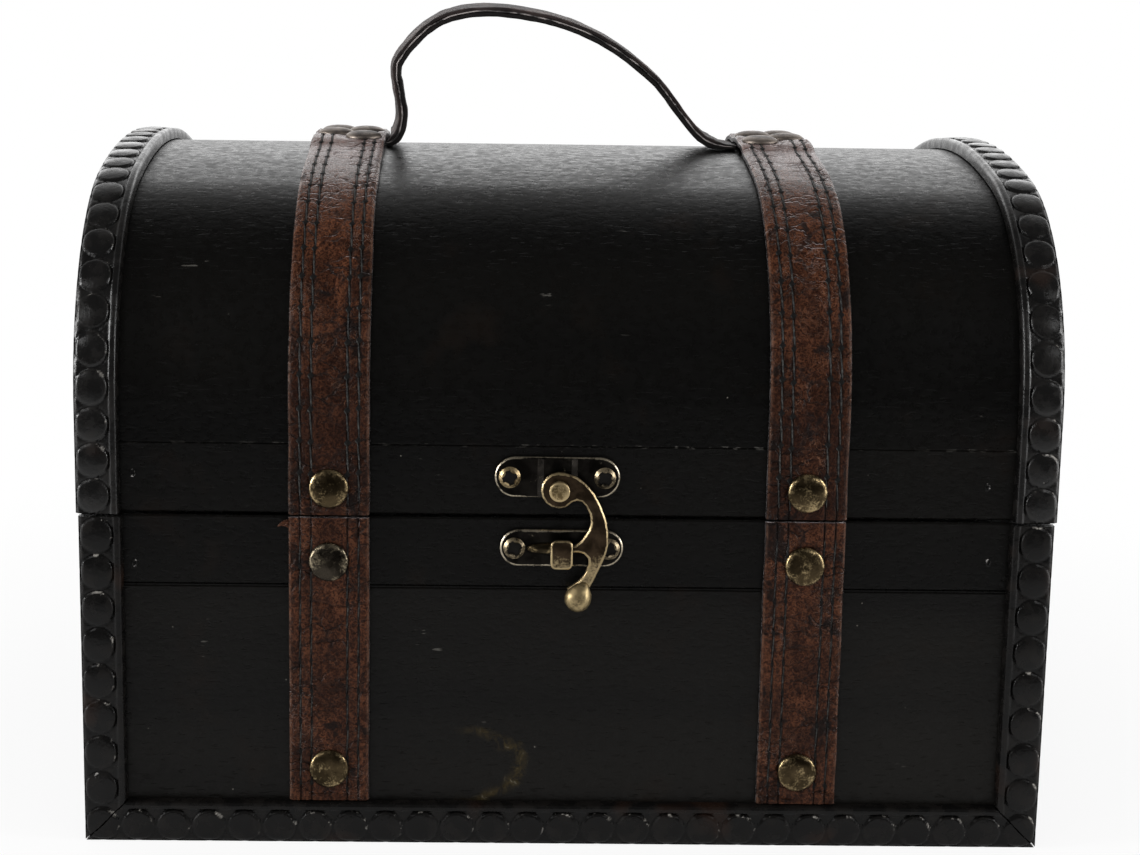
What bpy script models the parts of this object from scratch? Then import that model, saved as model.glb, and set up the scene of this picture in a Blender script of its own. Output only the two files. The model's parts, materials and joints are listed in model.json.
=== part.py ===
"""Small domed jewelry chest in black-stained wood, with leather straps and a swinging hook latch.

Metres, +Z up.  The origin is the middle of the underside.  The front faces -Y, and +X is to
the right of someone who looks at the front.
"""
import math

import bmesh
import bpy
from mathutils import Matrix, Vector

# Overall size, across the carved mouldings
BOX_WIDTH = 0.220
BOX_DEPTH = 0.178
BODY_HEIGHT = 0.0765
SEAM_GAP = 0.0007
LID_OVERHANG = 0.0005

# Curve of the lid, measured on the outer face of its bent sheet
LID_SIDE_HEIGHT = 0.024
LID_CORNER_RADIUS = 0.0485
LID_CROWN_RADIUS = 0.207
CORNER_FACETS = 10
CROWN_FACETS = 8

# Boards, and the gap that touching pieces keep
PANEL_THICKNESS = 0.006
END_THICKNESS = 0.008
BOTTOM_THICKNESS = 0.004
SHEET_THICKNESS = 0.003
RAIL_THICKNESS = 0.006
RAIL_HEIGHT = 0.016
EDGE_EASE = 0.0004
FIT = 0.0003

# Carved mouldings: a row of domed coins beside a plain fillet
MOULDING_WIDTH = 0.0097
MOULDING_RISE = 0.003
MOULDING_BEVEL = 0.0006
COIN_WIDTH = 0.0072
COIN_PITCH = 0.0082
COIN_ACROSS_SHARES = (0.0, 0.3, 0.7, 1.0)
COIN_DOME_SHARES = (0.6, 1.0, 1.0, 0.7)
COIN_ALONG_SHARES = (0.0, 0.22, 0.78)
COIN_VALLEY_SHARE = 0.45
FILLET_SHARE = 0.85

# Leather straps; the share says how far out across the half width each one lies
STRAP_PLACE_SHARE = 0.4873
STRAP_WIDTH = 0.0182
STRAP_THICKNESS = 0.0015
STRAP_EDGE = 0.0004
STRAP_RAMP = 0.006

# Dome-headed studs
STUD_RADIUS = 0.004
STUD_HEIGHT = 0.0016
STUD_SHANK_RADIUS = 0.0006
STUD_SHANK_LENGTH = 0.0045
STUD_SIDES = 12
DOME_RINGS = 3
DOME_TOP_SHARE = 0.86
LID_STUD_HEIGHT = 0.0062
BODY_STUD_DROP = 0.010
BODY_STUD_FOOT = 0.0177
CROWN_STUD_STEP = 0.0075
CROWN_STUD_SPREAD = 0.0074
CROWN_STUD_ROW = 4

# Leather handle, a thick strip with thin tabs that run under the lid straps
HANDLE_WIDTH = 0.018
HANDLE_THICKNESS = 0.003
HANDLE_RISE = 0.0329
HANDLE_TAB_THICKNESS = 0.0006
HANDLE_PIVOT_HEIGHT = 0.009
HANDLE_ROOF_ANGLE = 30.0
HANDLE_CURVE_STEPS = 2
HANDLE_SPAN_SHARES = (
    -1.0, -0.945, -0.903, -0.896, -0.919, -0.932, -0.891, -0.821, -0.715, -0.606,
    -0.391, -0.163, 0.068, 0.301, 0.525, 0.663, 0.776, 0.851, 0.916, 1.0,
)
HANDLE_RISE_SHARES = (
    0.0, 0.0, 0.043, 0.188, 0.40, 0.559, 0.669, 0.781, 0.891, 0.964,
    1.0, 0.973, 0.891, 0.754, 0.544, 0.359, 0.146, 0.036, 0.0, 0.0,
)

# Swinging hook latch, placed from its rivet
RIVET_SHIFT = -0.0021
RIVET_HEIGHT = 0.0070
RIVET_RADIUS = 0.0012
RIVET_HEAD_RADIUS = 0.0023
RIVET_HEAD_HEIGHT = 0.0012
RUNNING_CLEARANCE = 0.0001
PLATE_THICKNESS = 0.001
LATCH_PLATE_LENGTH = 0.0281
LATCH_PLATE_WIDTH = 0.0093
LATCH_PLATE_SHIFT = -0.0004
LATCH_PLATE_RAISE = 0.0024
BRIDGE_LENGTH = 0.0098
BRIDGE_HEIGHT = 0.001
BRIDGE_RAMP = 0.0018
BRIDGE_INSET = 0.0002
CATCH_PLATE_LENGTH = 0.0278
CATCH_PLATE_WIDTH = 0.0085
CATCH_PLATE_SHIFT = 0.0008
CATCH_PLATE_DROP = 0.0139
CATCH_HEAD_LENGTH = 0.0067
CATCH_HEAD_WIDTH = 0.005
CATCH_HEAD_THICKNESS = 0.0012
CATCH_HEAD_SHIFT = 0.0007
CATCH_HEAD_DROP = 0.0145
CATCH_POST_WIDTH = 0.002
CATCH_RIB_REACH = 0.0052
CATCH_RIB_WIDTH = 0.003
CATCH_RIB_STEP = 0.0004
CATCH_HEAD_OUTLINE_SHARES = (
    (1.0, 0.75), (0.6, 0.93), (0.0, 1.0), (-0.6, 0.93), (-1.0, 0.75),
    (-1.0, -0.75), (-0.6, -0.93), (0.0, -1.0), (0.6, -0.93), (1.0, -0.75),
)
PLATE_SCREW_SPACING = 0.0213
SCREW_HEAD_RADIUS = 0.00235
SCREW_HEAD_HEIGHT = 0.0007
SCREW_SHANK_RADIUS = 0.0009
SCREW_SHANK_LENGTH = 0.005
SCREW_SIDES = 12
STADIUM_FACETS = 6
HOOK_THICKNESS = 0.0014
HOOK_EYE_RADIUS = 0.0041
HOOK_SPAN = 0.0111
HOOK_DROP = 0.0251
HOOK_BALL_RADIUS = 0.0027
HOOK_BALL_SHARE = 0.4
HOOK_EYE_FACETS = 10
HOOK_EYE_START = 72.0
HOOK_EYE_END = 290.0
HOOK_OUTLINE_SHARES = (
    (0.26, -0.105), (0.35, -0.09), (0.46, -0.10), (0.54, -0.14), (0.62, -0.21), (0.65, -0.295),
    (0.62, -0.35), (0.56, -0.40), (0.46, -0.46), (0.34, -0.50), (0.08, -0.515), (0.08, -0.565),
    (0.41, -0.565), (0.51, -0.575), (0.61, -0.62), (0.62, -0.665), (0.56, -0.75), (0.43, -0.83),
    (0.27, -0.88), (0.19, -0.90), (0.29, -0.965), (0.50, -0.965), (0.62, -0.905), (0.70, -0.845),
    (0.81, -0.74), (0.91, -0.64), (0.96, -0.58), (1.0, -0.50), (0.995, -0.38), (0.945, -0.26),
    (0.84, -0.14), (0.70, -0.026), (0.54, 0.057), (0.35, 0.124),
)

# Stop hinges on the back
HINGE_LENGTH = 0.022
HINGE_LEAF_HEIGHT = 0.010
HINGE_LEAF_THICKNESS = 0.001
HINGE_LEAF_LIFT = 0.0005
HINGE_OUTSET = 0.0005
KNUCKLE_RADIUS = 0.0022
KNUCKLE_SIDES = 12
KNUCKLE_WEB_SHARE = 0.64
KNUCKLE_WEB_TOP_SHARE = 0.68
PIN_RADIUS = 0.001
PIN_HEAD_RADIUS = 0.0015
PIN_HEAD_LENGTH = 0.0006
HINGE_SCREW_SPACING = 0.013
HINGE_SCREW_HEIGHT = 0.0066
HINGE_SCREW_RADIUS = 0.0009

# How far a cutter runs past the face it opens, and the angle from which an edge stays sharp
OVERRUN = 0.001
SHARP_ANGLE = 40.0

# Places worked out from the sizes above
BODY_WIDTH = BOX_WIDTH - 2 * LID_OVERHANG
HALF_DEPTH = BOX_DEPTH / 2 - MOULDING_RISE - FIT
LID_BOTTOM = BODY_HEIGHT + SEAM_GAP
SEAM_MIDDLE = BODY_HEIGHT + SEAM_GAP / 2
CORNER_BEND = math.acos((HALF_DEPTH - LID_CORNER_RADIUS) / (LID_CROWN_RADIUS - LID_CORNER_RADIUS))
CORNER_LENGTH = LID_CORNER_RADIUS * CORNER_BEND
CROWN_LENGTH = LID_CROWN_RADIUS * (math.pi / 2 - CORNER_BEND)
HALF_GIRTH = LID_SIDE_HEIGHT + CORNER_LENGTH + CROWN_LENGTH
HUMP_REACH = CROWN_STUD_STEP * (CROWN_STUD_ROW - 1) / 2 + STUD_RADIUS + FIT
STRAP_CENTRE = STRAP_PLACE_SHARE * BOX_WIDTH / 2
HANDLE_HALF_SPAN = STRAP_CENTRE - STRAP_WIDTH / 2 - FIT
RIVET_PLACE = SEAM_MIDDLE + RIVET_HEIGHT
PLATE_TOP = FIT + PLATE_THICKNESS
HOOK_BACK = PLATE_TOP + BRIDGE_HEIGHT + FIT
HOOK_FRONT = HOOK_BACK + HOOK_THICKNESS
HINGE_REACH = HALF_DEPTH + FIT + MOULDING_RISE + HINGE_OUTSET
HINGE_CENTRE = (STRAP_CENTRE + STRAP_WIDTH / 2 + BOX_WIDTH / 2 - MOULDING_WIDTH) / 2


# Finishes

def finish(name, color, roughness, metallic):
    made = bpy.data.materials.new(name)
    made.use_nodes = True
    shader = made.node_tree.nodes["Principled BSDF"]
    shader.inputs["Base Color"].default_value = (*color, 1.0)
    shader.inputs["Roughness"].default_value = roughness
    shader.inputs["Metallic"].default_value = metallic
    return made


def stained_wood():
    return finish("stained_wood", (0.012, 0.011, 0.010), 0.5, 0.0)


def strap_leather():
    return finish("strap_leather", (0.060, 0.022, 0.013), 0.45, 0.0)


def handle_leather():
    return finish("handle_leather", (0.035, 0.024, 0.022), 0.4, 0.0)


def antique_brass():
    return finish("antique_brass", (0.23, 0.16, 0.07), 0.38, 1.0)


# Shapes

def loft(sections):
    """Closed skin over a row of like sections, capped at both ends."""
    shape = bmesh.new()
    rings = [[shape.verts.new(point) for point in section] for section in sections]
    for ring, following in zip(rings, rings[1:]):
        for index in range(len(ring)):
            beside = (index + 1) % len(ring)
            shape.faces.new((ring[index], ring[beside], following[beside], following[index]))
    shape.faces.new(list(reversed(rings[0])))
    shape.faces.new(rings[-1])
    bmesh.ops.recalc_face_normals(shape, faces=shape.faces)
    return shape


def block(low, high):
    """Box between two corners."""
    low = Vector(low)
    high = Vector(high)
    size = high - low
    shape = bmesh.new()
    place = Matrix.Translation((low + high) / 2) @ Matrix.Diagonal((*size, 1.0))
    bmesh.ops.create_cube(shape, size=1.0, matrix=place)
    return shape


def turned(profile, sides, place):
    """Solid turned about the local Z axis of place, from a profile of (radius, height) pairs."""
    sections = []
    for radius, height in profile:
        ring = []
        for side in range(sides):
            angle = 2 * math.pi * side / sides
            ring.append(place @ Vector((radius * math.cos(angle), radius * math.sin(angle), height)))
        sections.append(ring)
    return loft(sections)


def keep_side(shape, point, normal):
    """Cuts the shape by a plane, keeps the side that the normal points to and closes the cut."""
    everything = list(shape.verts) + list(shape.edges) + list(shape.faces)
    bmesh.ops.bisect_plane(
        shape, geom=everything, plane_co=point, plane_no=normal, clear_inner=True)
    open_edges = [edge for edge in shape.edges if edge.is_boundary]
    bmesh.ops.holes_fill(shape, edges=open_edges)
    bmesh.ops.recalc_face_normals(shape, faces=shape.faces)


def join(shapes):
    """One mesh that holds several separate closed shapes, for use as a cutter."""
    whole = bpy.data.meshes.new("joined")
    joined = bmesh.new()
    for shape in shapes:
        shape.to_mesh(whole)
        joined.from_mesh(whole)
        shape.free()
    bpy.data.meshes.remove(whole)
    return joined


def stand(point, normal):
    """Frame at point whose Z axis is the outward normal of a face that runs along X."""
    up = Vector(normal)
    along = Vector((1.0, 0.0, 0.0))
    side = up.cross(along)
    frame = Matrix((along, side, up)).transposed().to_4x4()
    return Matrix.Translation(point) @ frame


def facing(side, x, z, out):
    """Frame out from the wood's front (side -1) or back (side 1) face, its Z axis outwards."""
    return stand((x, side * (HALF_DEPTH + out), z), (0.0, side, 0.0))


# Objects

def pivot(name, place, parent=None):
    """Empty on a joint's axis, which carries the pieces that move about it."""
    empty = bpy.data.objects.new(name, None)
    bpy.context.collection.objects.link(empty)
    if parent is not None:
        empty.parent = parent
        empty.location = Vector(place) - parent.matrix_world.translation
    else:
        empty.location = place
    bpy.context.view_layer.update()
    return empty


def piece(name, shape, material, carrier=None, ease=0.0):
    """Named object from a shape in world coordinates, carried by a pivot if it moves."""
    mesh = bpy.data.meshes.new(name)
    shape.to_mesh(mesh)
    shape.free()
    mesh.materials.append(material)
    made = bpy.data.objects.new(name, mesh)
    bpy.context.collection.objects.link(made)
    if carrier is not None:
        made.parent = carrier
        made.matrix_parent_inverse = carrier.matrix_world.inverted()
    if ease:
        bevel = made.modifiers.new("eased_edges", "BEVEL")
        bevel.width = ease
        bevel.segments = 1
    return made


def smooth(made):
    made.data.shade_smooth()
    made.data.set_sharp_from_angle(angle=math.radians(SHARP_ANGLE))


def combine(target, shape, operation, name):
    """Boolean of a shape, kept as a hidden guide object, with one or more target objects."""
    mesh = bpy.data.meshes.new(name)
    shape.to_mesh(mesh)
    shape.free()
    guide = bpy.data.objects.new(name, mesh)
    bpy.context.collection.objects.link(guide)
    guide.hide_render = True
    guide.display_type = "WIRE"
    for each in target:
        modifier = each.modifiers.new(name, "BOOLEAN")
        modifier.operation = operation
        modifier.solver = "EXACT"
        modifier.object = guide


def drill(targets, places, radius, depth, sides, name):
    """Round holes of one radius and depth, at frames whose Z axes point out of the work."""
    profile = ((radius, -depth), (radius, OVERRUN))
    combine(targets, join([turned(profile, sides, place) for place in places]), "DIFFERENCE", name)


# Lid curve

def lid_frame(girth):
    """Point and outward normal (y, z) on the bent sheet's outer face.

    The girth is measured along that face from the front of the lid's underside.
    """
    behind = girth > HALF_GIRTH
    if behind:
        girth = 2 * HALF_GIRTH - girth
    corner_y = LID_CORNER_RADIUS - HALF_DEPTH
    corner_z = LID_BOTTOM + LID_SIDE_HEIGHT
    if girth <= LID_SIDE_HEIGHT:
        point = (-HALF_DEPTH, LID_BOTTOM + girth)
        normal = (-1.0, 0.0)
    elif girth <= LID_SIDE_HEIGHT + CORNER_LENGTH:
        angle = (girth - LID_SIDE_HEIGHT) / LID_CORNER_RADIUS
        normal = (-math.cos(angle), math.sin(angle))
        point = (corner_y + LID_CORNER_RADIUS * normal[0], corner_z + LID_CORNER_RADIUS * normal[1])
    else:
        angle = CORNER_BEND + (girth - LID_SIDE_HEIGHT - CORNER_LENGTH) / LID_CROWN_RADIUS
        normal = (-math.cos(angle), math.sin(angle))
        crown_z = corner_z - (LID_CROWN_RADIUS - LID_CORNER_RADIUS) * math.sin(CORNER_BEND)
        point = (LID_CROWN_RADIUS * normal[0], crown_z + LID_CROWN_RADIUS * normal[1])
    if behind:
        point = (-point[0], point[1])
        normal = (-normal[0], normal[1])
    return point, normal


def lid_point(x, girth, out):
    """Point at x across the lid, and out from the sheet's outer face."""
    point, normal = lid_frame(girth)
    return Vector((x, point[0] + out * normal[0], point[1] + out * normal[1]))


def lid_stand(x, girth, out):
    normal = lid_frame(girth)[1]
    return stand(lid_point(x, girth, out), (0.0, normal[0], normal[1]))


def lid_girths(start):
    """Girths at which the lid's curve has its facets, front to back, from a girth of start."""
    front = [LID_SIDE_HEIGHT + CORNER_LENGTH * step / CORNER_FACETS for step in range(CORNER_FACETS)]
    top = [
        LID_SIDE_HEIGHT + CORNER_LENGTH + 2 * CROWN_LENGTH * step / CROWN_FACETS
        for step in range(CROWN_FACETS + 1)
    ]
    back = [2 * HALF_GIRTH - girth for girth in reversed(front)]
    middle = [girth for girth in front + top + back if start < girth < 2 * HALF_GIRTH - start]
    return [start] + middle + [2 * HALF_GIRTH - start]


def crown_height():
    return lid_frame(HALF_GIRTH)[0][1]


# Wooden boards

def body_boards(wood):
    half_width = BODY_WIDTH / 2
    inner = HALF_DEPTH - PANEL_THICKNESS
    rail_foot = BODY_HEIGHT - RAIL_HEIGHT
    piece("body_front_panel", block(
        (-half_width, -HALF_DEPTH, 0), (half_width, -inner, rail_foot - FIT)), wood, ease=EDGE_EASE)
    piece("body_front_rail", block(
        (-half_width, -HALF_DEPTH, rail_foot), (half_width, -inner, BODY_HEIGHT)), wood, ease=EDGE_EASE)
    piece("body_back_panel", block(
        (-half_width, inner, 0), (half_width, HALF_DEPTH, BODY_HEIGHT)), wood, ease=EDGE_EASE)
    for side, word in ((-1, "left"), (1, "right")):
        faces = sorted((side * half_width, side * (half_width - END_THICKNESS)))
        piece("body_" + word + "_end", block(
            (faces[0], FIT - inner, 0), (faces[1], inner - FIT, BODY_HEIGHT)), wood, ease=EDGE_EASE)
    reach = half_width - END_THICKNESS - FIT
    piece("body_bottom_panel", block(
        (-reach, FIT - inner, 0), (reach, inner - FIT, BOTTOM_THICKNESS)), wood)


def lid_boards(wood, lid):
    half_width = BOX_WIDTH / 2
    sheet_foot = RAIL_HEIGHT + FIT
    sections = []
    for girth in lid_girths(sheet_foot):
        sections.append([
            lid_point(-half_width, girth, 0), lid_point(half_width, girth, 0),
            lid_point(half_width, girth, -SHEET_THICKNESS),
            lid_point(-half_width, girth, -SHEET_THICKNESS)])
    dome = piece("lid_dome", loft(sections), wood, lid)
    smooth(dome)
    for side, word in ((-1, "front"), (1, "back")):
        faces = sorted((side * HALF_DEPTH, side * (HALF_DEPTH - RAIL_THICKNESS)))
        piece("lid_" + word + "_rail", block(
            (-half_width, faces[0], LID_BOTTOM),
            (half_width, faces[1], LID_BOTTOM + RAIL_HEIGHT)), wood, lid, EDGE_EASE)
    for side, word in ((-1, "left"), (1, "right")):
        outer = lid_end_outline(side * half_width, sheet_foot)
        inner = lid_end_outline(side * (half_width - END_THICKNESS), sheet_foot)
        end = piece("lid_" + word + "_end", loft([outer, inner]), wood, lid)
        smooth(end)


def lid_end_outline(x, sheet_foot):
    """D-shaped board that stands between the rails and carries the bent sheet."""
    reach = HALF_DEPTH - RAIL_THICKNESS - FIT
    shoulder = LID_BOTTOM + sheet_foot
    curve = [lid_point(x, girth, -SHEET_THICKNESS - FIT) for girth in lid_girths(sheet_foot)]
    front = [Vector((x, -reach, LID_BOTTOM)), Vector((x, -reach, shoulder))]
    back = [Vector((x, reach, shoulder)), Vector((x, reach, LID_BOTTOM))]
    return front + curve + back


# Carved mouldings

def moulding_section(rise_share):
    """Outline (across, out) of a moulding: the coins, the plain fillet, then the inner bevel."""
    outline = [(0.0, 0.0)]
    for across, dome in zip(COIN_ACROSS_SHARES, COIN_DOME_SHARES):
        outline.append((COIN_WIDTH * across, MOULDING_RISE * dome * rise_share))
    outline.append((MOULDING_WIDTH - MOULDING_BEVEL, MOULDING_RISE * FILLET_SHARE))
    outline.append((MOULDING_WIDTH, 0.0))
    return outline


def carve(length, place):
    """Moulding of whole coins over a length; place turns (along, across, out) into a point."""
    coins = max(1, round(length / COIN_PITCH))
    stations = []
    for coin in range(coins):
        for share in COIN_ALONG_SHARES:
            rise = 1.0 if share else COIN_VALLEY_SHARE
            stations.append(((coin + share) * length / coins, rise))
    stations.append((length, COIN_VALLEY_SHARE))
    sections = []
    for along, rise in stations:
        sections.append([place(along, across, out) for across, out in moulding_section(rise)])
    return loft(sections)


def body_mouldings(wood):
    half_width = BODY_WIDTH / 2
    for face, face_word in ((-1, "front"), (1, "back")):
        for side, word in ((-1, "left"), (1, "right")):
            def upright(along, across, out):
                return Vector((side * (half_width - across), face * (HALF_DEPTH + FIT + out), along))
            shape = carve(BODY_HEIGHT, upright)
            mitre = Vector((side, 0, 1)).normalized()
            corner = Vector((side * half_width, 0, 0))
            keep_side(shape, corner + mitre * FIT / 2, mitre)
            piece("body_" + face_word + "_moulding_" + word, shape, wood)

        def lying(along, across, out):
            return Vector((along - half_width, face * (HALF_DEPTH + FIT + out), across))
        shape = carve(BODY_WIDTH, lying)
        for side in (-1, 1):
            mitre = Vector((-side, 0, -1)).normalized()
            corner = Vector((side * half_width, 0, 0))
            keep_side(shape, corner + mitre * FIT / 2, mitre)
        piece("body_" + face_word + "_moulding_bottom", shape, wood)


def lid_mouldings(wood, lid):
    for side, word in ((-1, "left"), (1, "right")):
        def arched(along, across, out):
            return lid_point(side * (BOX_WIDTH / 2 - across), along, FIT + out)
        piece("lid_" + word + "_moulding", carve(2 * HALF_GIRTH, arched), wood, lid)


# Leather straps

def strap_section(x, place, base):
    """Strap outline about x; place turns (x, out) into a point, and base lifts it off the wood."""
    half = STRAP_WIDTH / 2
    top = base + STRAP_THICKNESS
    return [
        place(x - half, base), place(x - half, top - STRAP_EDGE), place(x - half + STRAP_EDGE, top),
        place(x + half - STRAP_EDGE, top), place(x + half, top - STRAP_EDGE), place(x + half, base)]


def strap_base(girth):
    """How far a lid strap's underside stands off the sheet: more where it covers a handle tab."""
    lift = HANDLE_TAB_THICKNESS + FIT
    past = abs(girth - HALF_GIRTH) - HUMP_REACH
    if past <= 0:
        return FIT + lift
    if past >= STRAP_RAMP:
        return FIT
    return FIT + lift * (STRAP_RAMP - past) / STRAP_RAMP


def lid_straps(leather, lid):
    breaks = []
    for sign in (-1, 1):
        breaks.append(HALF_GIRTH + sign * HUMP_REACH)
        breaks.append(HALF_GIRTH + sign * (HUMP_REACH + STRAP_RAMP))
    girths = sorted(lid_girths(0.0) + breaks)
    straps = []
    for side, word in ((-1, "left"), (1, "right")):
        sections = []
        for girth in girths:
            def across(x, out):
                return lid_point(x, girth, out)
            sections.append(strap_section(side * STRAP_CENTRE, across, strap_base(girth)))
        strap = piece("lid_strap_" + word, loft(sections), leather, lid)
        smooth(strap)
        straps.append(strap)
    return straps


def body_straps(leather):
    straps = []
    for face, face_word in ((-1, "front"), (1, "back")):
        for side, word in ((-1, "left"), (1, "right")):
            sections = []
            for height in (MOULDING_WIDTH + FIT, BODY_HEIGHT):
                def across(x, out):
                    return Vector((x, face * (HALF_DEPTH + out), height))
                sections.append(strap_section(side * STRAP_CENTRE, across, FIT))
            straps.append(piece("body_" + face_word + "_strap_" + word, loft(sections), leather))
    return straps


# Studs

def stud_profile():
    profile = [
        (STUD_SHANK_RADIUS / 2, -STUD_SHANK_LENGTH),
        (STUD_SHANK_RADIUS, STUD_SHANK_RADIUS - STUD_SHANK_LENGTH),
        (STUD_SHANK_RADIUS, 0.0),
        (STUD_RADIUS, 0.0),
    ]
    for ring in range(1, DOME_RINGS + 1):
        angle = DOME_TOP_SHARE * math.pi / 2 * ring / DOME_RINGS
        profile.append((STUD_RADIUS * math.cos(angle), STUD_HEIGHT * math.sin(angle)))
    return profile


def stud(name, place, brass, carrier=None):
    made = piece(name, turned(stud_profile(), STUD_SIDES, place), brass, carrier)
    smooth(made)


def drill_for_studs(targets, places, name):
    drill(targets, places, STUD_SHANK_RADIUS + FIT, STUD_SHANK_LENGTH + FIT, STUD_SIDES, name)


def body_studs(brass):
    out = FIT + STRAP_THICKNESS + FIT
    for face, face_word in ((-1, "front"), (1, "back")):
        upper = []
        lower = []
        for side, word in ((-1, "left"), (1, "right")):
            x = side * STRAP_CENTRE
            upper.append(facing(face, x, BODY_HEIGHT - BODY_STUD_DROP, out))
            stud("body_" + face_word + "_stud_upper_" + word, upper[-1], brass)
            if face < 0:
                lower.append(facing(face, x, BODY_STUD_FOOT, out))
                stud("body_" + face_word + "_stud_lower_" + word, lower[-1], brass)
        straps = [bpy.data.objects["body_" + face_word + "_strap_" + word] for word in ("left", "right")]
        drill_for_studs(straps, upper + lower, "body_" + face_word + "_stud_holes")
        if face < 0:
            drill_for_studs([bpy.data.objects["body_front_rail"]], upper, "front_rail_stud_holes")
            drill_for_studs([bpy.data.objects["body_front_panel"]], lower, "front_panel_stud_holes")
        else:
            drill_for_studs([bpy.data.objects["body_back_panel"]], upper, "back_panel_stud_holes")


def lid_studs(brass, lid, straps):
    low_out = FIT + STRAP_THICKNESS + FIT
    crown_out = strap_base(HALF_GIRTH) + STRAP_THICKNESS + FIT
    for side, word, strap in ((-1, "left", straps[0]), (1, "right", straps[1])):
        x = side * STRAP_CENTRE
        front = lid_stand(x, LID_STUD_HEIGHT, low_out)
        back = lid_stand(x, 2 * HALF_GIRTH - LID_STUD_HEIGHT, low_out)
        stud("lid_front_stud_" + word, front, brass, lid)
        stud("lid_back_stud_" + word, back, brass, lid)
        crown = []
        for number in range(CROWN_STUD_ROW):
            girth = HALF_GIRTH + (number - (CROWN_STUD_ROW - 1) / 2) * CROWN_STUD_STEP
            inward = 1 if number % 2 == 0 else -1
            crown.append(lid_stand(x - side * inward * CROWN_STUD_SPREAD / 2, girth, crown_out))
            stud("handle_stud_" + word + "_" + str(number + 1), crown[-1], brass, lid)
        drill_for_studs([strap], [front, back] + crown, "lid_strap_stud_holes_" + word)
        drill_for_studs([bpy.data.objects["handle_end_" + word]], crown, "handle_tab_holes_" + word)
        drill_for_studs([bpy.data.objects["lid_dome"]], crown, "lid_dome_stud_holes_" + word)
        drill_for_studs([bpy.data.objects["lid_front_rail"]], [front], "front_rail_hole_" + word)
        drill_for_studs([bpy.data.objects["lid_back_rail"]], [back], "back_rail_hole_" + word)


# Handle

def handle_path():
    """Middle line (x, z) of the strip, a smooth curve through the points that the shares give."""
    base = crown_height() + FIT + HANDLE_THICKNESS / 2
    marks = []
    for span, rise in zip(HANDLE_SPAN_SHARES, HANDLE_RISE_SHARES):
        marks.append(Vector((HANDLE_HALF_SPAN * span, base + HANDLE_RISE * rise)))
    padded = [2 * marks[0] - marks[1]] + marks + [2 * marks[-1] - marks[-2]]
    path = []
    for index in range(1, len(padded) - 2):
        before, start, end, after = padded[index - 1:index + 3]
        for step in range(HANDLE_CURVE_STEPS):
            t = step / HANDLE_CURVE_STEPS
            path.append(0.5 * (
                2 * start + (end - before) * t + (2 * before - 5 * start + 4 * end - after) * t ** 2
                + (3 * start - before - 3 * end + after) * t ** 3))
    path.append(marks[-1])
    return path


def strip_sections(path):
    """Sections of the handle strip, square to the path."""
    sections = []
    for index, point in enumerate(path):
        ahead = path[min(index + 1, len(path) - 1)]
        behind = path[max(index - 1, 0)]
        along = (ahead - behind).normalized()
        across = Vector((-along.y, along.x)) * HANDLE_THICKNESS / 2
        sections.append(rectangle(point + across, point - across))
    return sections


def rectangle(upper, lower):
    """Section across the handle's width between two (x, z) points."""
    half = HANDLE_WIDTH / 2
    return [
        Vector((upper.x, -half, upper.y)), Vector((upper.x, half, upper.y)),
        Vector((lower.x, half, lower.y)), Vector((lower.x, -half, lower.y))]


def handle_ends(leather, lid):
    """Fixed feet: a thin tab under the strap, the curl, and a riser with a peaked top."""
    crown = crown_height()
    top = crown + HANDLE_PIVOT_HEIGHT
    slope = math.radians(HANDLE_ROOF_ANGLE)
    for side, word in ((-1, "left"), (1, "right")):
        path = handle_path()
        if side > 0:
            path = path[::-1]
        above = next(index for index, point in enumerate(path) if point.y > top + HANDLE_THICKNESS)
        tab_end = side * (STRAP_CENTRE + STRAP_WIDTH / 2 - STRAP_EDGE)
        tab_step = side * (HANDLE_HALF_SPAN + FIT / 2)
        tab = []
        for x in (tab_end, tab_step):
            tab.append(rectangle(
                Vector((x, crown + FIT + HANDLE_TAB_THICKNESS)), Vector((x, crown + FIT))))
        riser = strip_sections(path[:above + 1])
        if side > 0:
            riser = [[section[3], section[2], section[1], section[0]] for section in riser]
        shape = loft(tab + riser)
        ridge = Vector((0, 0, top - FIT / 2))
        for lean in (-1, 1):
            keep_side(shape, ridge, Vector((0, -lean * math.sin(slope), -math.cos(slope))))
        piece("handle_end_" + word, shape, leather, lid)


def handle_loop(leather, handle):
    """The loop between the risers, with level ends that stand just over their peaks."""
    shape = loft(strip_sections(handle_path()))
    foot = Vector((0, 0, crown_height() + HANDLE_PIVOT_HEIGHT + FIT / 2))
    keep_side(shape, foot, Vector((0, 0, 1)))
    made = piece("handle_loop", shape, leather, handle)
    smooth(made)


# Latch

def latch_point(x, z, out):
    """Point placed from the rivet's middle, and out from the wood's front face."""
    return Vector((RIVET_SHIFT + x, -HALF_DEPTH - out, RIVET_PLACE + z))


def slab(outline, back, front):
    """Plate with an (x, z) outline about the rivet, between two distances from the wood."""
    return loft([[latch_point(x, z, out) for x, z in outline] for out in (back, front)])


def stadium(length, width, x, z):
    """Round-ended outline about (x, z)."""
    outline = []
    radius = width / 2
    for side in (1, -1):
        for step in range(STADIUM_FACETS + 1):
            angle = math.pi * step / STADIUM_FACETS - math.pi / 2
            outline.append((
                x + side * (length / 2 - radius + radius * math.cos(angle)),
                z + side * radius * math.sin(angle)))
    return outline


def screw_places(shift, z, out):
    places = []
    for side in (-1, 1):
        point = latch_point(shift + side * PLATE_SCREW_SPACING / 2, z, out)
        places.append(stand(point, (0.0, -1.0, 0.0)))
    return places


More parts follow.
